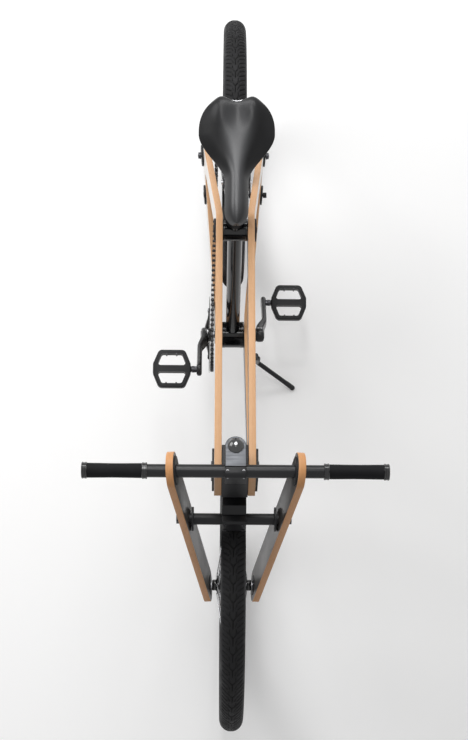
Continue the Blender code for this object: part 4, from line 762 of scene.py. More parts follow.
def build_tyre(axle, body, node):
    """A round section with a flat tread, carried round the axle. The tread's grooves go in along the
    section's own normal, the sidewalls carry two fine ribs, and the beads go down to the rim."""
    bead = rim_width / 2 - 1
    tread = np.linspace(-math.radians(62), math.radians(62), 41)
    wall = np.linspace(math.radians(66), math.pi - math.asin(bead / tyre_radius), 11)
    angle = np.concatenate([-wall[::-1], tread, wall])
    away = np.abs(angle)
    rib = 0.4 * np.exp(-(((away - 1.5) / 0.03) ** 2)) - 0.3 * np.exp(-(((away - 1.75) / 0.03) ** 2))
    turn = full_turn(tread_repeats * 22)[:, None]
    along = (turn * tread_repeats / (2 * np.pi)) % 1
    inside = np.clip((math.radians(64) - away) / 0.05, 0, 1)
    groove = tread_grooves(along, angle[None, :] * tyre_radius) * inside * tread_depth
    reach = tyre_radius - 0.3 + rib - groove
    out = np.minimum(tread_middle + reach * np.cos(angle), wheel_radius - groove)
    foot = np.ones((len(turn), 1))
    out = np.concatenate([foot * (rim_radius + 0.6), out, foot * (rim_radius + 0.6)], 1)
    side = np.concatenate([foot * -bead, reach * np.sin(angle), foot * bead], 1)
    tag = np.zeros((*out.shape, 3))
    tag[:, 1:-1, 0], tag[:, 1:-1, 1], tag[..., 2] = groove / tread_depth, away, 1
    points = np.stack([np.cos(turn) * out, side, np.sin(turn) * out], -1) + axle
    Piece(f"{body}_tyre").grid(points, True, tag=tag).build(body, tyre_rubber, "tyre", [node], 60)


def build_rim_and_spokes(axle, body, flange, flange_y, valve_angle):
    """A box rim turned from its section, with spokes that lead forwards and back in turn, each with a
    nipple at the rim and a bent end in the hub's flange, and the valve."""
    half, inner = rim_width / 2, rim_radius - rim_depth
    profile = [(rim_radius + 0.4, half - 2.2), (rim_radius + 1.2, half - 0.4), (rim_radius, half)]
    profile += [(rim_radius - 0.62 * rim_depth, half - 0.6), (inner + 3.5, 0.55 * half), (inner, 0.3 * half)]
    piece = Piece(f"{body}_rim").turned(mirrored(profile), axle, left, 180, closed=True)
    piece.build(body, rim_black, "black_metal", [body.replace("wheel", "rim")], 35)

    def on_wheel(radius, side, angle):
        return axle + at(radius * math.cos(angle), side, radius * math.sin(angle))

    spokes, nipples = Piece(f"{body}_spokes"), Piece(f"{body}_nipples")
    for i in range(spoke_count):
        side, way_round = (1 if i % 2 else -1), (1 if i % 4 < 2 else -1)
        at_rim = 2 * math.pi * (i + 0.5) / spoke_count
        at_hub = at_rim + math.radians(38) * way_round
        start = on_wheel(flange - 2.8, side * (flange_y + 2.1 * way_round), at_hub)
        back = on_wheel(flange - 2.8, side * (flange_y - 2.1 * way_round), at_hub)
        end = on_wheel(inner + 4, side * 3, at_rim)
        way = unit(end - start)
        spokes.tube([start, start + way * 6, end - way * 14, end], 1.05, 6)
        spokes.tube([back, start], 1.2, 6)
        nipples.tube([end - way * place for place in (16, 15.5, 1, 0)], [1.4, 1.9, 1.9, 2.3], 8)
    spokes.build(body, steel, "bright_metal", smooth=60)
    nipples.build(body, steel, "bright_metal", smooth=30)

    base = on_wheel(inner + 2, 0, valve_angle)
    inward = unit(axle - base)
    stem = [(0, 0), (3.2, 0), (3.2, 12), (2.6, 14), (2.6, 18), (3.9, 18.5), (3.9, 28), (2.8, 30), (0, 30)]
    valve = Piece(f"{body}_valve").turned(stem, base, inward, 16)
    valve.turned([(3, 0), (6.5, 0), (6.5, 2.2), (3, 2.2)], base - inward * 0.5, inward, 20, 1)
    valve.build(body, [black_matt, steel], "tyre")


def axle_nut(name, origin, axis, radius, height, body, finish, node):
    """A hexagon nut with chamfered corners on a round washer, standing on its origin."""
    hole, washer, flats = 5.2, 1.6, radius * 0.985
    profile = [(hole, 0), (radius, 0), (radius, washer), (radius * 0.9, washer), (flats * 0.93, washer + 0.1)]
    profile += [(flats, washer + 0.6, 6), (flats, height - 0.8, 6), (flats * 0.88, height), (hole + 0.6, height)]
    piece = Piece(name).turned([*profile, (hole, height - 0.5)], origin, axis, 36, closed=True)
    piece.build(body, finish, "bright_metal", [node], 30)


def axle_end(shoulder, end):
    """An axle's half from its end in to the locknut, which stands against the board."""
    return [(0, end), (4.1, end), (4.9, end - 0.8), (4.9, shoulder), (8.8, shoulder), (9.5, shoulder - 0.6)]


def build_front_hub():
    """A slim flanged hub with its cones, on an axle with hexagon nuts and washers outside the blades."""
    half = [(5.6, 45.9), (11.8, 45.5), (12.8, 43.5), (12.8, 37.2), (15, 36.2), (21.2, 35.2), (22, 34.2), (22, 31.8)]
    half += [(21.2, 30.5), (15, 28.2), (12.5, 22), (13.5, 4)]
    piece = Piece("front_hub_shell").turned(mirrored(half), front_axle, left, 64, closed=True)
    piece.build("front_wheel", black_gloss, "black_metal", ["front_hub"], 30)

    outer = blade_axle_y + half_blade + 8.5 * blade_slope + gap
    half = axle_end(blade_axle_y - half_blade - 9.5 * blade_slope - gap, outer + 8)
    half += [(9.5, 46.8), (8.8, 46.3), (5, 46.3)]
    piece = Piece("front_axle_rod").turned(mirrored(half), front_axle, left, 32)
    piece.build("fork", steel, "bright_metal", ["front_axle"], 30)
    for side, word in sides:
        origin = front_axle + left * side * outer
        axle_nut(f"front_nut_{word}", origin, left * side, 8.5, 6, "fork", steel, f"front_axle_nut_{word}")


def build_rear_hub():
    """The coaster hub: a fat shell between two flanges, with dust caps, on an axle with long nuts."""
    half = [(23.2, 34), (35, 31.6), (36, 30.4), (36, 27.6), (35, 26.6), (30, 25), (29, 23.5)]
    caps = [(5.6, 37.8), (21.5, 37.8), (23.2, 37)], [(23.2, -39.2), (21.5, -39.8), (5.6, -39.9)]
    profile = caps[0] + half + [(28.4, 0)] + [(radius, -place) for radius, place in reversed(half)] + caps[1]
    piece = Piece("rear_hub_shell").turned(profile, rear_axle, left, 72, closed=True)
    piece.build("rear_wheel", black_gloss, "black_metal", ["rear_hub"], 30)

    panel = half_gap + spread(rear_axle[0], rear_axle[2])
    start = panel + ply + disc_thickness + 9 * panel_spread + 2 * gap
    half = axle_end(panel - 9.5 * panel_spread - gap, start + 7.5)
    profile = half + [(9.5, 44.4), (8.8, 43.8), (4.9, 43.8), (4.9, -48), (8.8, -48), (9.5, -48.6)]
    profile += [(radius, -place) for radius, place in reversed(half)]
    piece = Piece("rear_axle_rod").turned(profile, rear_axle, left, 32)
    piece.build("frame", dark_steel, "bright_metal", ["rear_axle"], 30)
    for side, word in sides:
        origin = rear_axle + left * side * start
        axle_nut(f"rear_nut_{word}", origin, left * side, 9, 6.6, "frame", dark_steel, f"rear_axle_nut_{word}")


build_tyre(front_axle, "front_wheel", "front_tyre")
build_tyre(rear_axle, "rear_wheel", "rear_tyre")
build_rim_and_spokes(front_axle, "front_wheel", 22, 33, math.radians(262))
build_rim_and_spokes(rear_axle, "rear_wheel", 36, 29, math.radians(78))
build_front_hub()
build_rear_hub()

# Tubes of the frame

bar_axes = np.array([steer_forward, steer_up, -left])


def build_seat_tubes():
    """The seat tube, its collar with a clamp bolt, and the tube between the panels."""
    low = 32.5 + gap - seat_tube_length
    tube = [(14.2, 50), (16.2, 50), (16.8, 49.4), (16.8, low), (14.2, low)]
    piece = Piece("seat_tube_body").turned(tube, seat_node, seat_up, 64, closed=True)
    piece.build("frame", black_gloss, "black_metal", ["seat_tube"], 30)

    low, high = 32, 50
    ring = [(17.1, high), (20.8, high), (21.6, high - 0.8), (21.6, low + 0.8), (20.8, low), (17.1, low)]
    piece = Piece("seat_collar_ring").turned(ring, seat_node, seat_up, 56, closed=True)
    rear = np.cross(left, seat_up)
    for near in (-6.8, 1.2):
        lug = box(19.5, low + 1, 30, high - 1, 3)
        piece.plate(lug, seat_node, np.array([-rear, seat_up, left]), near, near + 5.6, 0.5)
    bolt = seat_node - rear * 25.2 + seat_up * 41
    piece.head(bolt + left * 6.8, left, 4, 3.4, 2.1, steps=24)
    piece.turned([(0, 0), (3.4, 0), (3.4, 2.2), (0, 2.2)], bolt - left * 6.8, -left, 6, 1)
    piece.build("frame", [black_satin, steel], "black_metal", ["seat_collar"], 30)

    end = half_gap - gap
    half = [(0, end - 9), (4.6, end - 9), (4.6, end - 0.6), (5.2, end), (24, end)]
    half += [(25, end - 1), (25, end - 4.2), (24.6, end - 4.6)]
    piece = Piece("seat_cross_tube_body").turned(mirrored(half), seat_node, left, 72)
    cuts = [bore(seat_node - seat_up * 60, seat_node + seat_up * 60, 17.1)]
    piece.build("frame", black_gloss, "black_metal", ["seat_cross_tube"], 35, cuts)


def build_shell_and_head():
    """The crank's shell with its cups, and the head box with its bearings."""
    wall, sleeve = half_gap - gap, half_gap + ply + 1.5
    cup = [(8.9, sleeve - 0.6), (9.6, sleeve), (21.8, sleeve), (22.5, sleeve - 0.7), (22.5, wall)]
    cup += [(31.8, wall), (32.5, wall - 0.7), (32.5, 19), (32, 18.4), (32, 17.6)]
    piece = Piece("crank_shell").turned(mirrored(cup), crank_axis, left, 72, closed=True)
    piece.build("frame", black_gloss, "black_metal", ["bottom_bracket_shell"], 35)

    low, high, wide, narrow, deep = head_bottom, head_top, 21.1, 15.1, 8.3
    profile = [(0, low - 10), (wide, low - 10), (wide, low + deep), (narrow, low + deep)]
    profile += [(narrow, high - deep), (wide, high - deep), (wide, high + 10), (0, high + 10)]
    cuts = [Piece("head_bore_tool").turned(profile, steer_foot, steer_up)]
    piece = Piece("head_box_body")
    piece.plate(box(-head_rear_reach, low, head_front_reach, high, 2.2), steer_foot, bar_axes, -wall, wall, 1.2, 3)
    piece.build("frame", black_satin, "black_metal", ["head_box"], 35, cuts)
    for word, low, high in (("upper", high - 8, high + 6), ("lower", low - 6, low + 8)):
        ring = [(14.9, low + 0.4), (14.9, high - 0.4), (15.4, high), (20, high), (20.8, high - 0.8)]
        ring += [(20.8, low + 0.8), (20, low), (15.4, low)]
        piece = Piece(f"bearing_{word}").turned(ring, steer_foot, steer_up, closed=True)
        piece.build("frame", dark_steel, "black_metal", [f"headset_bearing_{word}"], 30)


# Seat

clamp_middle = seat_node + seat_up * 174 + at(0, 0, 3)
clamp_length, clamp_height = 36, 26
rail_z = clamp_middle[2] + 5
saddle_length, saddle_half_width, nose_half_width, saddle_notch = 288.5, 81.8, 25.3, 13.5
saddle_rear = clamp_middle[0] - 172.5
saddle_nose = saddle_rear + saddle_length
saddle_top = rail_z + 68


def hump(value, middle, width):
    """A bell curve: e to the minus square of the distance in widths."""
    return np.exp(-(((value - middle) / width) ** 2))


def saddle_half(x):
    """Half the saddle's width: wings behind, a slim nose in front, and both ends rounded as superellipses."""
    share = np.clip(((x - saddle_rear) / saddle_length - 0.266) / (0.640 - 0.266), 0, 1)
    half = saddle_half_width + (nose_half_width - saddle_half_width) * eased(share)
    back = np.clip(1 - (x - saddle_rear) / (0.250 * saddle_length), 0, 1)
    front = np.clip(1 - (saddle_nose - x) / 40, 0, 1)
    return np.maximum(half * (1 - back**2.3) ** (1 / 2.3) * (1 - front**2.05) ** (1 / 2.05), 1.2)


def saddle_height(x):
    """The height of the saddle's middle line: a shallow dip between the wings and the nose."""
    t = np.clip((x - saddle_rear) / saddle_length, 0, 1)
    dip = 12 * np.sin(np.pi * np.minimum(1, t * 1.15)) ** 2
    return saddle_top - 10 * t - dip - 7 * t**10 - 10 * (1 - t) ** 14


def saddle_layer(name, stations, inset, sections):
    """A layer of the saddle. sections lists, round its section, (share of the half width, drop below the
    middle line, further drop towards the edge, move in from the edge)."""
    t = (1 - np.cos(np.pi * np.arange(stations + 1) / stations))[:, None] / 2
    x = saddle_rear + inset + (saddle_length - 2 * inset) * t
    half = np.maximum(saddle_half(x) - inset, 0.8)
    share, drop, arch, move = np.array(sections, float).T[:, None]
    y = share * half - np.sign(share) * np.minimum(move, half * 0.4)
    back = saddle_notch * hump(y, 0, 20) - 7.5 * hump(np.abs(y), 37, 15)
    tuck = 9 * np.clip(1 - t * 7, 0, 1) ** 2 - 24 * np.clip(t * 6 - 5, 0, 1) ** 2
    rear = 1 - 0.55 * hump(t, 0, 0.13)
    z = saddle_height(x) - drop - arch * np.abs(share) ** 2.6 * np.minimum(1, 0.5 + half / 50) * rear
    lobes = 5.5 * hump(np.abs(y), 42, 20) - 4.5 * hump(y, 0, 20)
    z = z + lobes * hump(t, 0.13, 0.13) * (drop < 10) * (np.abs(share) < 0.999)
    rows = np.stack([x + back * np.maximum(0, 1 - t * 8) + np.clip(drop / 24, 0, 1) * tuck, y, z], -1)
    tag = np.stack([rows[..., 0] - saddle_rear, y, drop + 0 * y], -1) / 1000
    return Piece(name).skin(rows, tag=tag)


def smooth_path(points, steps=8):
    """A curve through the points: each stretch a cubic whose slopes come from the points on either side."""
    points = np.asarray(points, float)
    padded = np.concatenate([2 * points[:1] - points[1:2], points, 2 * points[-1:] - points[-2:-1]])
    share = (np.arange(steps) / steps)[:, None]
    stretches = []
    for a, b, c, d in zip(padded, padded[1:], padded[2:], padded[3:]):
        bend = (2 * a - 5 * b + 4 * c - d) * share**2 + (3 * b - a - 3 * c + d) * share**3
        stretches.append(b + 0.5 * ((c - a) * share + bend))
    return np.concatenate([*stretches, points[-1:]])


def build_saddle():
    """The padded cover and the shell below it."""
    top = [(math.sin(a), 0, 31.5, 0) for a in np.linspace(-np.pi / 2, np.pi / 2, 57)]
    lip = [(1, 1.6, 31.5, -0.2), (1, 3.2, 31.5, 0.6), (1, 4.2, 31.5, 2.4)]
    under = [(s, 24, 11.8, 4.5 * abs(s)) for s in np.linspace(1, -1, 17)]
    cover = saddle_layer("saddle_cover_leather", 110, 0, top + lip + under + [(-1, *rest) for _, *rest in lip[::-1]])
    made = cover.build("seat", leather, "saddle_leather", ["saddle_cover"], 70)

    upper = [(s, 24.6, 11.2, 0) for s in np.linspace(-1, 1, 15)]
    lower = [(s, 28.2, 8.6, 2 * abs(s)) for s in np.linspace(1, -1, 15)]
    saddle_layer("saddle_base", 60, 7.5, upper + lower).build("seat", black_plastic, "plastic", ["saddle_shell"])


def build_saddle_rails():
    """Two rails from the saddle's back to its nose, through their clamp, with a plastic socket at each end."""
    rear_x, nose_x = saddle_rear + 40, saddle_nose - 52
    rear_z, nose_z = saddle_height(rear_x) - 38.15, saddle_height(nose_x) - 37.1
    middle, straight = clamp_middle[0], clamp_length * 0.9
    path = [(rear_x, 34, rear_z), (middle - straight * 1.45, 26, (rear_z + rail_z) / 2)]
    path += [(middle + x, 22, rail_z) for x in (-straight, 0, straight)]
    path += [(middle + straight * 1.6, 18.7, (rail_z * 2 + nose_z) / 3)]
    path += [(nose_x - 6, 8.8, nose_z), (nose_x, 3.5, nose_z)]
    piece = Piece("saddle_rail_pair").tube(smooth_path(path + [(x, -y, z) for x, y, z in path[::-1]]), 3.5)
    piece.build("seat", steel, "bright_metal", ["saddle_rails"])
    ends = Piece("saddle_rail_sockets")
    for side in (-1, 1):
        start = at(rear_x + 12, side * 32.5, rear_z - 1)
        ends.tube([start, start + (-4, side * 0.5, 1), start + (-20, side * 1.5, 4)], [5.5, 6.8, 6.8], 20)
    nose = at(nose_x, 0, nose_z)
    ends.tube([nose + (-8, 0, -0.5), nose + (-5, 0, 0), nose + (8, 0, 2)], [7, 9.5, 9.5], 24)
    ends.build("seat", black_plastic, "plastic")


def build_clamp_post_and_clip():
    """The clamp's two halves with a bolt at each side, the seat post, and the bright clip at the back."""
    piece = Piece("saddle_clamp_halves")
    half = clamp_length / 2
    for low, high, reach in ((-clamp_height / 2, 4.2, half), (5.8, clamp_height / 2, half * 0.92)):
        piece.plate(box(-reach, low, reach, high, 3), clamp_middle, side_view, -29, 29, 1.2, 3)
    for side in (-1, 1):
        piece.head(clamp_middle + at(0, side * 29, -4.5), left * side, 5.2, 4, 2.6)
    piece.build("seat", [black_satin, steel], "black_metal", ["saddle_clamp"], 35)

    post = [(0, 174), (13, 174), (13.6, 173.4), (13.6, -149.4), (12.8, -150), (0, -150)]
    piece = Piece("seatpost_tube").turned(post, seat_node, seat_up, 56)
    piece.build("seat", seatpost_black, "black_metal", ["seatpost"], 30)

    y = np.linspace(-11.2, 11.2, 15)
    x = saddle_rear + saddle_notch * hump(y, 0, 20) - 1.4 + 0.012 * y**2
    z = saddle_height(saddle_rear) - 6.8 + 0 * y
    section = [(3, 0.2), (0, 0.4), (-1.6, 0), (-2, -1), (-1.8, -3.6), (3, -3.6)]
    rows = np.stack([np.stack([x + dx, y, z + dz], -1) for dx, dz in section], 1)
    Piece("saddle_rear_clip").skin(rows).build("seat", steel, "bright_metal", smooth=50)


build_seat_tubes()
build_shell_and_head()
build_saddle()
build_saddle_rails()
build_clamp_post_and_clip()

# Fork, stem and handlebar

front_face = fork_offset + gap


def across_bore(height, radius, reach):
    """A cutter for a tube that runs across the fork at this height."""
    return bore(steered(fork_offset, -reach, height), steered(fork_offset, reach, height), radius + 0.2)


def build_stem():
    """The stem: a flat block with a round back, a collar under it, and a faceplate with four screws."""
    half = 21.5
    low = bar_height - half
    outline = [(fork_offset - gap, -half), (fork_offset - gap, half)]
    outline += [(half * math.cos(a), half * math.sin(a)) for a in np.linspace(np.pi / 2, 1.5 * np.pi, 33)]
    piece = Piece("stem_block")
    # The block's top and bottom faces take the grey painted reflection, its edges black satin.
    piece.plate(outline, steer_foot, np.array([steer_forward, left, steer_up]), low, stem_top, 1.3, 4, 0, 1)
    collar = [(0, head_top + 7.6), (18.2, head_top + 7.6), (19, head_top + 8.4), (19, low + 1), (0, low + 1)]
    piece.turned(collar, steer_foot, steer_up, 56, 1)
    cuts = [across_bore(bar_height, bar_radius, 40)]
    piece.build("fork", [stem_painted_sheen, black_satin], "stem_metal", ["stem"], 30, cuts)

    piece = Piece("stem_faceplate_block")
    outline = box(front_face, low, fork_offset + bar_radius + 7.5, stem_top, [1.2, 19.5, 19.5, 1.2])
    piece.plate(outline, steer_foot, bar_axes, -half, half, 1.4, 3)
    for turn in (math.radians(31), math.radians(66)):
        out = steer_forward * math.cos(turn) + steer_up * math.sin(turn)
        for y in (-16.2, 16.2):
            piece.head(steered(fork_offset, y, bar_height) + out * 21.4, out, 2.9, 2, 1.3, steps=20)
    piece.build("fork", [black_satin, steel], "black_metal", ["stem_faceplate"], 30, cuts)


def build_cap_and_steerer():
    """The domed cap on the stem, with its bolt in a hollow, and the steerer tube below it."""
    base = stem_top + gap
    edge = math.radians(66)
    dome = [
        (15.8 * math.sin(a) / math.sin(edge), base + 2.2 + 7.4 * (math.cos(a) - math.cos(edge)) / (1 - math.cos(edge)))
        for a in np.linspace(0, edge, 12)
    ]
    dome = [(radius, z) for radius, z in dome if radius > 5.2]
    top = dome[0][1]
    profile = [(0, top - 2.2), (2.8, top - 2.2), (3, top + 0.4), (4.4, top + 0.6), (4.9, top - 0.4)]
    piece = Piece("top_cap_dome")
    piece.turned([*profile, *dome, (16.5, base + 1.6), (16.5, base), (0, base)], steer_foot, steer_up, 64)
    piece.head(steer_foot + steer_up * (top - 2.4), steer_up, 3.1, 3, 1.4, steps=24)
    piece.build("fork", [cap_gloss, steel], "black_metal", ["top_cap"], 28)

    low, high = cross_height - 20.2, stem_top - gap
    piece = Piece("steerer").turned([(0, high), (13.9, high), (13.9, low), (0, low)], steer_foot, steer_up)
    piece.build("fork", dark_steel, "black_metal", ["steerer_tube"], 30)


def build_lower_bracket():
    """The block under the head with its round neck, and the plate that clamps the lower cross tube to it."""
    bottom = cross_height - 20.5
    waist, top, shoulder = bottom + 41, bottom + 84, bottom + 58
    back = fork_offset - gap
    corners = [(-22, bottom), (back, bottom), (back, waist), (33, shoulder), (-22, shoulder)]
    piece = Piece("lower_bracket_block")
    piece.plate(rounded(corners, [6, 1, 3, 3, 6]), steer_foot, bar_axes, -26, 26, 1.3, 3)
    neck = [(0, shoulder - 1), (25.5, shoulder - 1), (25.5, top - 1), (24.5, top), (0, top)]
    piece.turned(neck, steer_foot, steer_up, 64)
    cuts = [across_bore(cross_height, cross_radius, 50)]
    piece.build("fork", black_satin, "black_metal", ["lower_bracket"], 30, cuts)

    front = fork_offset + cross_radius + 7.5
    piece = Piece("lower_faceplate_block")
    piece.plate(box(front_face, bottom, front, waist, [1.2, 6, 6, 1.2]), steer_foot, bar_axes, -26, 26, 1.4, 3)
    for y in (-19.5, 19.5):
        for z in (-12.8, 12.8):
            piece.head(steered(front - 0.4, y, cross_height + z), steer_forward, 3.4, 2.4, 3.4 * 0.52, steps=24)
    piece.build("fork", [black_satin, dark_steel], "black_metal", ["lower_faceplate"], 30, cuts)


def build_cross_tube():
    """The lower cross tube with a flange inside each blade and a square cap outside it, and the discs
    inside the blades at the bar and at the axle."""
    middle = steered(fork_offset, 0, cross_height)
    end = blade_middle(cross_height) + half_blade + cross_radius * blade_slope + 8
    flange = blade_middle(cross_height) - half_blade - 26 * blade_slope - gap
    half = [(0, end - 4), (cross_radius, end - 4), (cross_radius, flange), (26, flange), (26, flange - 3.6)]
    half += [(25.2, flange - 4.4), (cross_radius, flange - 4.4)]
    piece = Piece("lower_cross_tube_body").turned(mirrored(half), middle, left, 64)
    for side in (-1, 1):
        low, high = sorted((side * (end - 5.8), side * (end + 5.2)))
        axes = np.array([steer_forward, steer_up, left])
        piece.plate(box(-8.6, -8.6, 8.6, 8.6, 3), middle, axes, low, high, 0.8, 3)
        inward = -blade_axes(side)[1]
        for height, radius, thick in ((bar_height, 30, 3.2), (0, 23.5, 1.6)):
            place = steered(fork_offset, side * blade_middle(height), height) + inward * (ply / 2 + 0.1)
            disc = [(0, 0), (radius, 0), (radius, thick - 0.9), (radius - 0.9, thick), (0, thick)]
            piece.turned(disc, place, inward, 64)
    piece.build("fork", black_satin, "black_metal", ["lower_cross_tube"], 30)


def build_handlebar():
    """A straight bar with a grip at each end: a rubber sleeve of fine ribs, a little slimmer in the middle,
    between two clamping rings, and a rounded plug."""
    origin = steered(fork_offset, 0, bar_height)
    end = bar_length / 2
    tube = mirrored([(11.3, end - 4.3), (bar_radius, end - 4.3)])
    piece = Piece("handlebar_tube").turned(tube, origin, left, 72, closed=True)
    piece.build("fork", bar_black, "black_metal", ["handlebar"], 30)
    near = end - grip_length
    along = np.linspace(near + 11.2, end - 11.2, 97)
    sleeve = 15.1 - 0.5 * np.sin(np.pi * np.linspace(0, 1, 97)) ** 2 - 0.22 * (np.arange(97) % 2)
    for side, word in sides:
        axis = left * side
        profile = [(13.9, along[0]), *zip(sleeve, along), (13.9, along[-1])]
        piece = Piece(f"grip_{word}_sleeve").turned(profile, origin, axis, 64, closed=True)
        for start, stop, inside in ((near, near + 10.8, 13.9), (end - 10.8, end, 0)):
            ring = [(13.9, start), (16, start), (17, start + 0.9), (17, start + 3), (16.4, start + 3.6)]
            ring += [(16.4, stop - 3.6), (17, stop - 3), (17, stop - 1.2), (15.8, stop), (inside, stop)]
            piece.turned(ring, origin, axis, 64, 1, closed=inside > 0)
            screw = origin + axis * (start + stop) / 2 - steer_up * 15.8 - steer_forward * 3.5
            piece.head(screw, -steer_up, 2.4, 1.6, 1.3, 2, 18)
        piece.build("fork", [grip_rubber, ring_black, steel], "grip", [f"grip_{word}"], 35)


build_stem()
build_cap_and_steerer()
build_lower_bracket()
build_cross_tube()
build_handlebar()

# Drive

chain_pitch_radius = {teeth: 6.35 / math.sin(math.pi / teeth) for teeth in (18, 44)}
rear_chainline, front_chainline = 43, 50.5
link_count, crank_length = 104, 170
crank_turn = math.radians(44.5)
crank_along = at(math.cos(crank_turn), 0, math.sin(crank_turn))
crank_across = at(-math.sin(crank_turn), 0, math.cos(crank_turn))


def chain_rollers():
    """The rollers' places: equal steps along a taut band round both wheels, shifted sideways on its way."""
    front = (crank_axis[0], crank_axis[2], chain_pitch_radius[44])
    rear = (rear_axle[0], rear_axle[2], chain_pitch_radius[18])
    loop = finer(band([rear, front], math.radians(1.5))[0], 4)
    closed = np.concatenate([loop, loop[:1]])
    length = length_along(closed)
    place = np.arange(link_count) * length[-1] / link_count
    x, z = (np.interp(place, length, part) for part in closed.T)
    rear_end, front_end = rear[0] + rear[2], front[0] - front[2] * 0.35
    share = np.clip((x - rear_end) / (front_end - rear_end), 0, 1)
    return np.stack([x, -rear_chainline - (front_chainline - rear_chainline) * share, z], -1)


def build_chain(rollers):
    """A roller chain: pairs of waisted plates in turn outside and inside, with rollers on their pins."""
    plates, pins = Piece("chain_links"), Piece("chain_rollers")
    lobe = on_circle(6.35, 0, 3.9, np.linspace(-1, 1, 8) * math.radians(115))
    outline = np.concatenate([lobe, [(0, 2.8)], -lobe, [(0, -2.8)]])
    for i, (here, ahead) in enumerate(zip(rollers, np.roll(rollers, -1, 0))):
        way = unit(ahead - here)
        up = unit(np.cross(way, left))
        near = 2.9 if i % 2 else 1.8
        for low in (near, -near - 0.9):
            plates.plate(outline, (here + ahead) / 2, np.array([way, up, np.cross(way, up)]), low, low + 0.9, 0.12, 1)
        for radius, reach, steps in ((3.7, 1.6, 10), (1.8, 4.5, 8)):
            pins.turned([(0, -reach), (radius, -reach), (radius, reach), (0, reach)], here, left, steps)
    plates.build("frame", chain_black, "black_metal", ["chain"], 30)
    pins.build("frame", dark_steel, "black_metal")


def toothed(teeth, start):
    """The outline of a chain wheel: round seats for the rollers, and tapered teeth between them."""
    angle = full_turn(teeth * 10)
    away = np.abs((angle * teeth / (2 * np.pi) + 0.5) % 1 - 0.5) * 2
    reach = chain_pitch_radius[teeth] - 3.9 + 6.6 * np.clip((away - 0.18) / 0.62, 0, 1) ** 0.8
    return angle + start, reach


def tabbed(angle, inner, wide, fade):
    """A ring's inner radius, with a tab under each of the spider's five arms."""
    arm = np.abs(((angle - crank_turn) * 5 / (2 * np.pi)) % 1 - 0.5) * 2
    return inner - (inner - 45.5) * np.clip((wide - arm) / fade, 0, 1) ** 1.3


def ring_plate(name, angle, outer, inner, origin, low, high):
    """A flat ring across the crank's axis, between two radii that may change with the angle."""
    bevel = 0.4
    section = [(outer - bevel, low), (outer, low + bevel), (outer, high - bevel), (outer - bevel, high)]
    section += [(inner + bevel, high), (inner, high - bevel), (inner, low + bevel), (inner + bevel, low)]
    x, z = np.cos(angle), np.sin(angle)
    rows = [np.stack([radius * x, 0 * x - level, radius * z], -1) for radius, level in section]
    return Piece(name).grid(origin + np.array(rows), along=True)


def engaged_angle(rollers, centre, direction):
    """The angle round a wheel at which the roller that lies furthest in a direction sits."""
    place = rollers[np.argmax(rollers[:, 0] * direction)] - centre
    return math.atan2(place[2], place[0])


def forged(piece, middles, half_widths, half_thicks, wide_way, thick_way):
    """A bar whose sections are rounded rectangles, as superellipses of exponent 4."""
    angle = full_turn(20)
    x, y = np.cos(angle), np.sin(angle)
    round_off = (x**4 + y**4) ** 0.25
    across = np.outer(half_widths, x / round_off)[..., None] * wide_way
    return piece.skin(middles[:, None] + across + np.outer(half_thicks, y / round_off)[..., None] * thick_way)


def build_spider_arm(piece, away):
    """An arm of the spider: it leaves the hub thick and slopes in to a thin rounded tab on the rings."""
    radius = np.concatenate([np.linspace(8, 58, 22), 58 + 8.5 * np.sin(np.linspace(0.1, np.pi / 2, 8))])
    ease = eased(np.clip((radius - 10) / 44, 0, 1))
    tip = 7.8 * np.sqrt(np.maximum(1 - ((radius - 58) / 8.6) ** 2, 0.0004))
    wide = np.where(radius > 58, tip, 13.5 - 5.7 * ease)
    outer, half_thick = 70 - 9.3 * ease, 5.5 - 4.15 * ease
    middles = crank_axis + np.outer(radius, away) - np.outer(outer - half_thick, left)
    forged(piece, middles, wide, half_thick, np.cross(away, left), -left)


def build_crank_arm(side, word):
    """A forged arm: thick at the spindle, curving outwards and thinning, with a round boss at each end."""
    start, end = 17.5, 15.8
    turn = np.linspace(0, np.pi / 2, 9)
    s = np.concatenate([-start * np.cos(turn), np.linspace(6, 164, 40), crank_length + end * np.sin(turn)])
    waist = 1 - 0.24 * np.sin(np.pi * np.clip((s - 12) / 146, 0, 1)) ** 0.8
    half = (start + (end - start) * np.clip(s / crank_length, 0, 1)) * waist
    half = np.where(s < 0, np.sqrt(np.maximum(start**2 - s**2, 0)), half)
    half = np.where(s > crank_length, np.sqrt(np.maximum(end**2 - (s - crank_length) ** 2, 0)), half)
    curve = eased(np.clip((s - start) / (75 - start), 0, 1))
    inner, half_thick = 58 + 16.5 * curve, 10 - 4 * curve
    out = left * side
    middles = crank_axis - side * np.outer(s, crank_along) + np.outer(inner + half_thick, out)
    piece = forged(Piece(f"crank_{word}"), middles, np.maximum(half, 0.3), half_thick, crank_across, out)
    boss = [(9, 0), (16, 0), (16.6, 0.6), (16.6, 6), (9, 6)]
    piece.turned(boss, crank_axis + out * 53.3, out, 48, closed=True)
    eye = [(7.3, 0), (11.8, 0), (12.4, 0.6), (12.4, 11.8), (11.8, 12.4), (7.3, 12.4)]
    piece.turned(eye, crank_axis - side * crank_along * crank_length + out * 74.3, out, 40, closed=True)
    piece.head(crank_axis + out * 77.2, out, 10.5, 1.6, 4.2)
    if side > 0:
        for y in (64.6, 71.2):
            place = crank_axis - crank_along * 4 + left * y + crank_across * 16.2
            piece.head(place, crank_across, 2.7, 2.2, 1.4, 2, 18)
    else:
        for i in range(5):
            spot = crank_turn + 2 * math.pi * (i + 0.5) / 5
            away = at(math.cos(spot), 0, math.sin(spot))
            build_spider_arm(piece, away)
            piece.head(crank_axis + away * 60 - left * 60.7, -left, 4.6, 1.6, 2.2, 2, 24)
    piece.build("cranks", [crank_black, dark_steel, steel], "black_metal", [f"crank_arm_{word}"], 35)


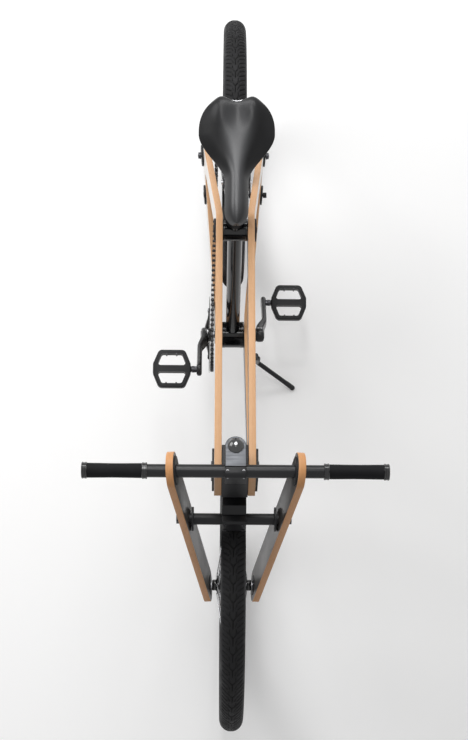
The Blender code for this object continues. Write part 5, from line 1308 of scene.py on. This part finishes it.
def build_rings(rollers):
    """The toothed chainring, the thin guard ring outside it, the sprocket with its driver, and the spindle."""
    angle, reach = toothed(44, engaged_angle(rollers, crank_axis, 1))
    low, high = front_chainline - 1.2, front_chainline + 1.2
    piece = ring_plate("chainring_plate", angle, reach, tabbed(angle, 74.5, 0.34, 0.14), crank_axis, low, high)
    piece.build("cranks", black_satin, "black_metal", ["chainring"], 35)
    angle = full_turn(300)
    piece = ring_plate("guard_ring", angle, 95, tabbed(angle, 85, 0.30, 0.12), crank_axis, 56.4, 57.9)
    piece.build("cranks", black_gloss, "black_metal", smooth=35)
    angle, reach = toothed(18, engaged_angle(rollers, rear_axle, -1))
    piece = ring_plate("sprocket_plate", angle, reach, 20, rear_axle, rear_chainline - 1.2, rear_chainline + 1.2)
    driver = [(5.8, -41.7), (18, -41.7), (20.5, -42), (20.5, -44), (18.5, -45), (18, -47), (5.8, -47.3)]
    piece.turned(driver, rear_axle, left, 48, 1, closed=True)
    piece.build("sprocket", [dark_steel, steel], "bright_metal", ["rear_sprocket"], 30)
    piece = Piece("spindle").turned(mirrored([(0, 76.5), (8, 76.5), (8.5, 76)]), crank_axis, left, 40)
    piece.build("cranks", steel, "bright_metal", ["crank_spindle"], 30)


def build_pedal(side, word):
    """A flat pedal: an octagonal cage with two windows, a barrel along the middle and short grip pins."""
    centre = crank_axis - side * crank_along * crank_length
    out, axes = left * side, np.diag([1, side, 1])
    inner, outer, half = 101, 191, 46
    lean = 14 / 34
    corners = [(-12, inner), (12, inner), (half, inner + 14), (half, outer - 14)]
    corners += [(-x, inner + outer - y) for x, y in corners]
    (low, low_in), (high, high_in) = (
        (height, max(0, height - 9) * lean + 9 * math.hypot(1, lean)) for height in (7.8, half - 9.5)
    )
    ahead = [(low, inner + low_in), (high, inner + high_in), (high, outer - high_in), (low, outer - low_in)]
    behind = [(-x, y) for x, y in (ahead[1], ahead[0], ahead[3], ahead[2])]
    windows = (rounded(window, 6) for window in (ahead, behind))
    cuts = [Piece("window_tool").plate(window, centre, axes, -20, 20, 0.1, 1) for window in windows]
    bore_end = outer - 9
    cuts.append(bore(centre + out * (inner - 10), centre + out * bore_end, 6.1))
    piece = Piece(f"pedal_{word}_cage").plate(rounded(corners, 12), centre, axes, -8.8, 8.8, 2.2, 4)
    piece.build(f"{word}_pedal", pedal_black, "black_metal", [f"pedal_{word}"], 35, cuts)
    barrel = [(6.2, inner - 2), (7.4, inner - 2), (7.8, inner - 1.4), (7.8, outer - 5.5), (6.2, outer - 5.5)]
    piece = Piece(f"pedal_{word}_barrel").turned(barrel, centre, out, 40, closed=True)
    for x in (10.2 - half, half - 10.2):
        for place in (inner + 34, inner + 58):
            pin = mirrored([(0, 10.1), (1.3, 10.1), (2.1, 8)])
            piece.turned(pin, centre + at(x, side * place, 0), (0, 0, 1), 12, 1)
    piece.build(f"{word}_pedal", [pedal_black, dark_steel], "black_metal", smooth=35)
    profile = [(0, 75.5), (7, 75.5), (7, 86.8), (8.6, 86.9, 6), (8.6, 91.5, 6), (8, 92), (8, 98.2), (5.5, 98.5)]
    piece = Piece(f"pedal_{word}_spindle")
    piece.turned([*profile, (5.5, bore_end - 1), (0, bore_end - 1)], centre, out, 36)
    piece.build("cranks", dark_steel, "bright_metal", [f"pedal_spindle_{word}"], 30)


roller_places = chain_rollers()
build_chain(roller_places)
build_rings(roller_places)
for side, word in sides:
    build_crank_arm(side, word)
    build_pedal(side, word)

# Kickstand and brake arm


def bent_path(points, reach):
    """A path with each corner rounded off by a parabola that starts and ends this far from it."""
    points = np.asarray(points, float)
    share = np.linspace(0, 1, 9)[:, None]
    path = [points[:1]]
    for back, here, ahead in zip(points, points[1:], points[2:]):
        near, far = here + unit(back - here) * reach, here + unit(ahead - here) * reach
        path.append((1 - share) ** 2 * near + 2 * share * (1 - share) * here + share**2 * far)
    return np.concatenate([*path, points[-1:]])


def build_kickstand():
    """The leg: a round eye on the pin, a bent rod down to the ground and a rubber foot. The plate on the
    frame holds the pin and is fixed by two bolts."""
    tilt = math.radians(28.7)
    pin, down = at(0, math.cos(tilt), math.sin(tilt)), at(0, math.sin(tilt), -math.cos(tilt))
    plate_outer = half_gap + ply + gap + 5
    base = crank_axis + (39, plate_outer - 1, -70.8)
    head = base + pin * 8.3
    pivot = head + pin * 5
    ground = upright_turn[2]
    foot = pivot + (26, 103, 0)
    foot[2] = -(upright_place[2] + ground[1] * foot[1]) / ground[2]
    elbow = pivot + (-22.7, 8.3, -134.3)
    path = bent_path([pivot + down * 6, pivot + down * 15, elbow, foot + ground * 6.2], 8)
    piece = Piece("kickstand_rod").tube(path, 6, 24)
    eye = [(4.6, 0), (8.4, 0), (9.2, 0.8), (9.2, 9.2), (8.4, 10), (4.6, 10)]
    piece.turned(eye, head, pin, 40, closed=True)
    sole = [(0, 0.3), (5, 0.3), (6.6, 1.4), (7, 4), (6.4, 7.2), (0, 8.6)]
    piece.turned(sole, foot, ground, 36, 1)
    sleeve = [(5.8, -26), (6.4, -25.5), (6.6, -2.5), (5.8, -0.5)]
    piece.turned(sleeve, path[-1], path[-1] - elbow, 24, 1, closed=True)
    piece.build("kickstand", [black_satin, black_plastic], "black_metal", ["kickstand_leg"])

    x, z = crank_axis[0] + 44, crank_axis[2]
    circles = [(base[0], base[2], 14), (x, z + 6, 10), (x - 24, z - 34, 10)]
    piece = Piece("kickstand_plate")
    piece.plate(band(circles)[0], np.zeros(3), side_view, -plate_outer, 5 - plate_outer, 0.7, 3)
    piece.turned([(0, 0), (9.2, 0), (9.2, 7.2), (8.6, 7.8), (0, 7.8)], base, pin, 40)
    piece.turned([(0, 0), (4, 0), (4, 18), (0, 18.2)], base, pin, 24, 1)
    for x, z, _ in circles[1:]:
        piece.head(at(x, plate_outer - 0.3, z), left, 6.5, 4.8, 3.2)
    piece.build("frame", [black_satin, dark_steel], "black_metal", ["kickstand_bracket"], 35)


def build_brake_arm():
    """The coaster hub's lever, from its ring on the axle to a bolt with a knurled knob outside the panel."""
    x, _, z = stay_place
    outline = band([(rear_axle[0], rear_axle[2], 16), (x, z, 8)])[0]
    piece = Piece("brake_lever").plate(outline, np.zeros(3), side_view, -43.5, -39.5, 0.8, 3)
    piece.build("frame", dark_steel, "black_metal", ["coaster_brake_arm"], 35)
    panel = half_gap + spread(x, z)
    knob = panel + ply + disc_thickness + gap + 8 * panel_spread + gap
    profile = [(0, 36.5), (4, 36.5), (4, 44), (7.8, 44), (7.8, panel - 1.2), (4, panel - 1), (4, knob), (6, knob)]
    profile += [(6.8, knob + 0.9), (6.8, knob + 8), (6, knob + 9), (3.2, knob + 9), (2.9, knob + 7), (0, knob + 7)]
    piece = Piece("brake_lever_bolt").turned(profile, stay_place, left)
    piece.build("frame", black_satin, "black_metal", ["brake_arm_bolt"], 35)


build_kickstand()
build_brake_arm()

# Stage, in metres: floor, lights, camera and world


def build_floor():
    reach = 8.0
    mesh = bpy.data.meshes.new("floor")
    corners = [(-reach, -reach, 0), (reach, -reach, 0), (reach, reach, 0), (-reach, reach, 0)]
    mesh.from_pydata(corners, [], [(0, 1, 2, 3)])
    floor = bpy.data.objects.new("floor", mesh)
    link(floor)
    finish = Finish("floor_paper", 0.9, 0.0, Specular_IOR_Level=0.0, Emission_Strength=1.0)
    finish.set("Base Color", (0.88, 0.88, 0.88))
    camera, glossy, through = finish.seen_by()
    seen = 1 - (1 - camera) * (1 - glossy) * (1 - through)
    finish.set("Emission Color", finish.mix(seen, (0.0, 0.0, 0.0), (0.12, 0.12, 0.12)))
    mesh.materials.append(finish.material)


def build_camera():
    """The camera that was fitted to the photograph: it looks down and back at the bicycle."""
    place, tilt, roll, focal_share = (0.996, -0.0041, 4.0), math.radians(14.93), -0.00425, 1558 / 740
    data = bpy.data.cameras.new("camera")
    data.sensor_fit, data.sensor_height, data.lens = "VERTICAL", 36, 36 * focal_share
    camera = bpy.data.objects.new("camera", data)
    look = Vector((-math.sin(tilt), 0, -math.cos(tilt)))
    image_up = Matrix.Rotation(roll, 3, look) @ Vector((look.z, 0, -look.x))
    axes = Matrix((look.cross(image_up), image_up, -look)).transposed().to_4x4()
    camera.matrix_world = Matrix.Translation(place) @ axes
    link(camera)
    bpy.context.scene.camera = camera


def softbox(name, place, target_height, width, depth, power):
    """A rectangular light that faces a point above the origin."""
    data = bpy.data.lights.new(name, "AREA")
    data.shape, data.size, data.size_y, data.energy = "RECTANGLE", width, depth, power
    lamp = bpy.data.objects.new(name, data)
    direction = Vector((0, 0, target_height)) - Vector(place)
    lamp.matrix_world = Matrix.Translation(place) @ direction.to_track_quat("-Z", "Y").to_matrix().to_4x4()
    link(lamp)


def build_world():
    """A white room that is seen at full strength but lights the bicycle with less."""
    world = bpy.data.worlds.new("world")
    bpy.context.scene.world = world
    world.use_nodes = True
    world.node_tree.nodes.clear()
    sky = Shader(world.node_tree)
    light, white = (sky.node("ShaderNodeBackground", {}, (1, 1, 1), strength) for strength in (0.36, 1.0))
    camera, glossy, through = sky.seen_by()
    seen = camera.larger(glossy).larger(through)
    output = sky.tree.nodes.new("ShaderNodeOutputWorld")
    sky.join(output.inputs["Surface"], sky.node("ShaderNodeMixShader", {}, seen, light, white))


build_floor()
build_camera()
softbox("key_softbox", (-1.6, -2.4, 2.6), 0.4, 2.2, 2.0, 62)
softbox("rear_softbox", (-2.7, 0.0, 3.0), 0.5, 2.4, 1.0, 52)
softbox("top_softbox", (-1.2, -0.15, 4.1), 0.6, 0.45, 2.2, 34)
build_world()
bpy.context.scene.view_settings.view_transform = "Standard"
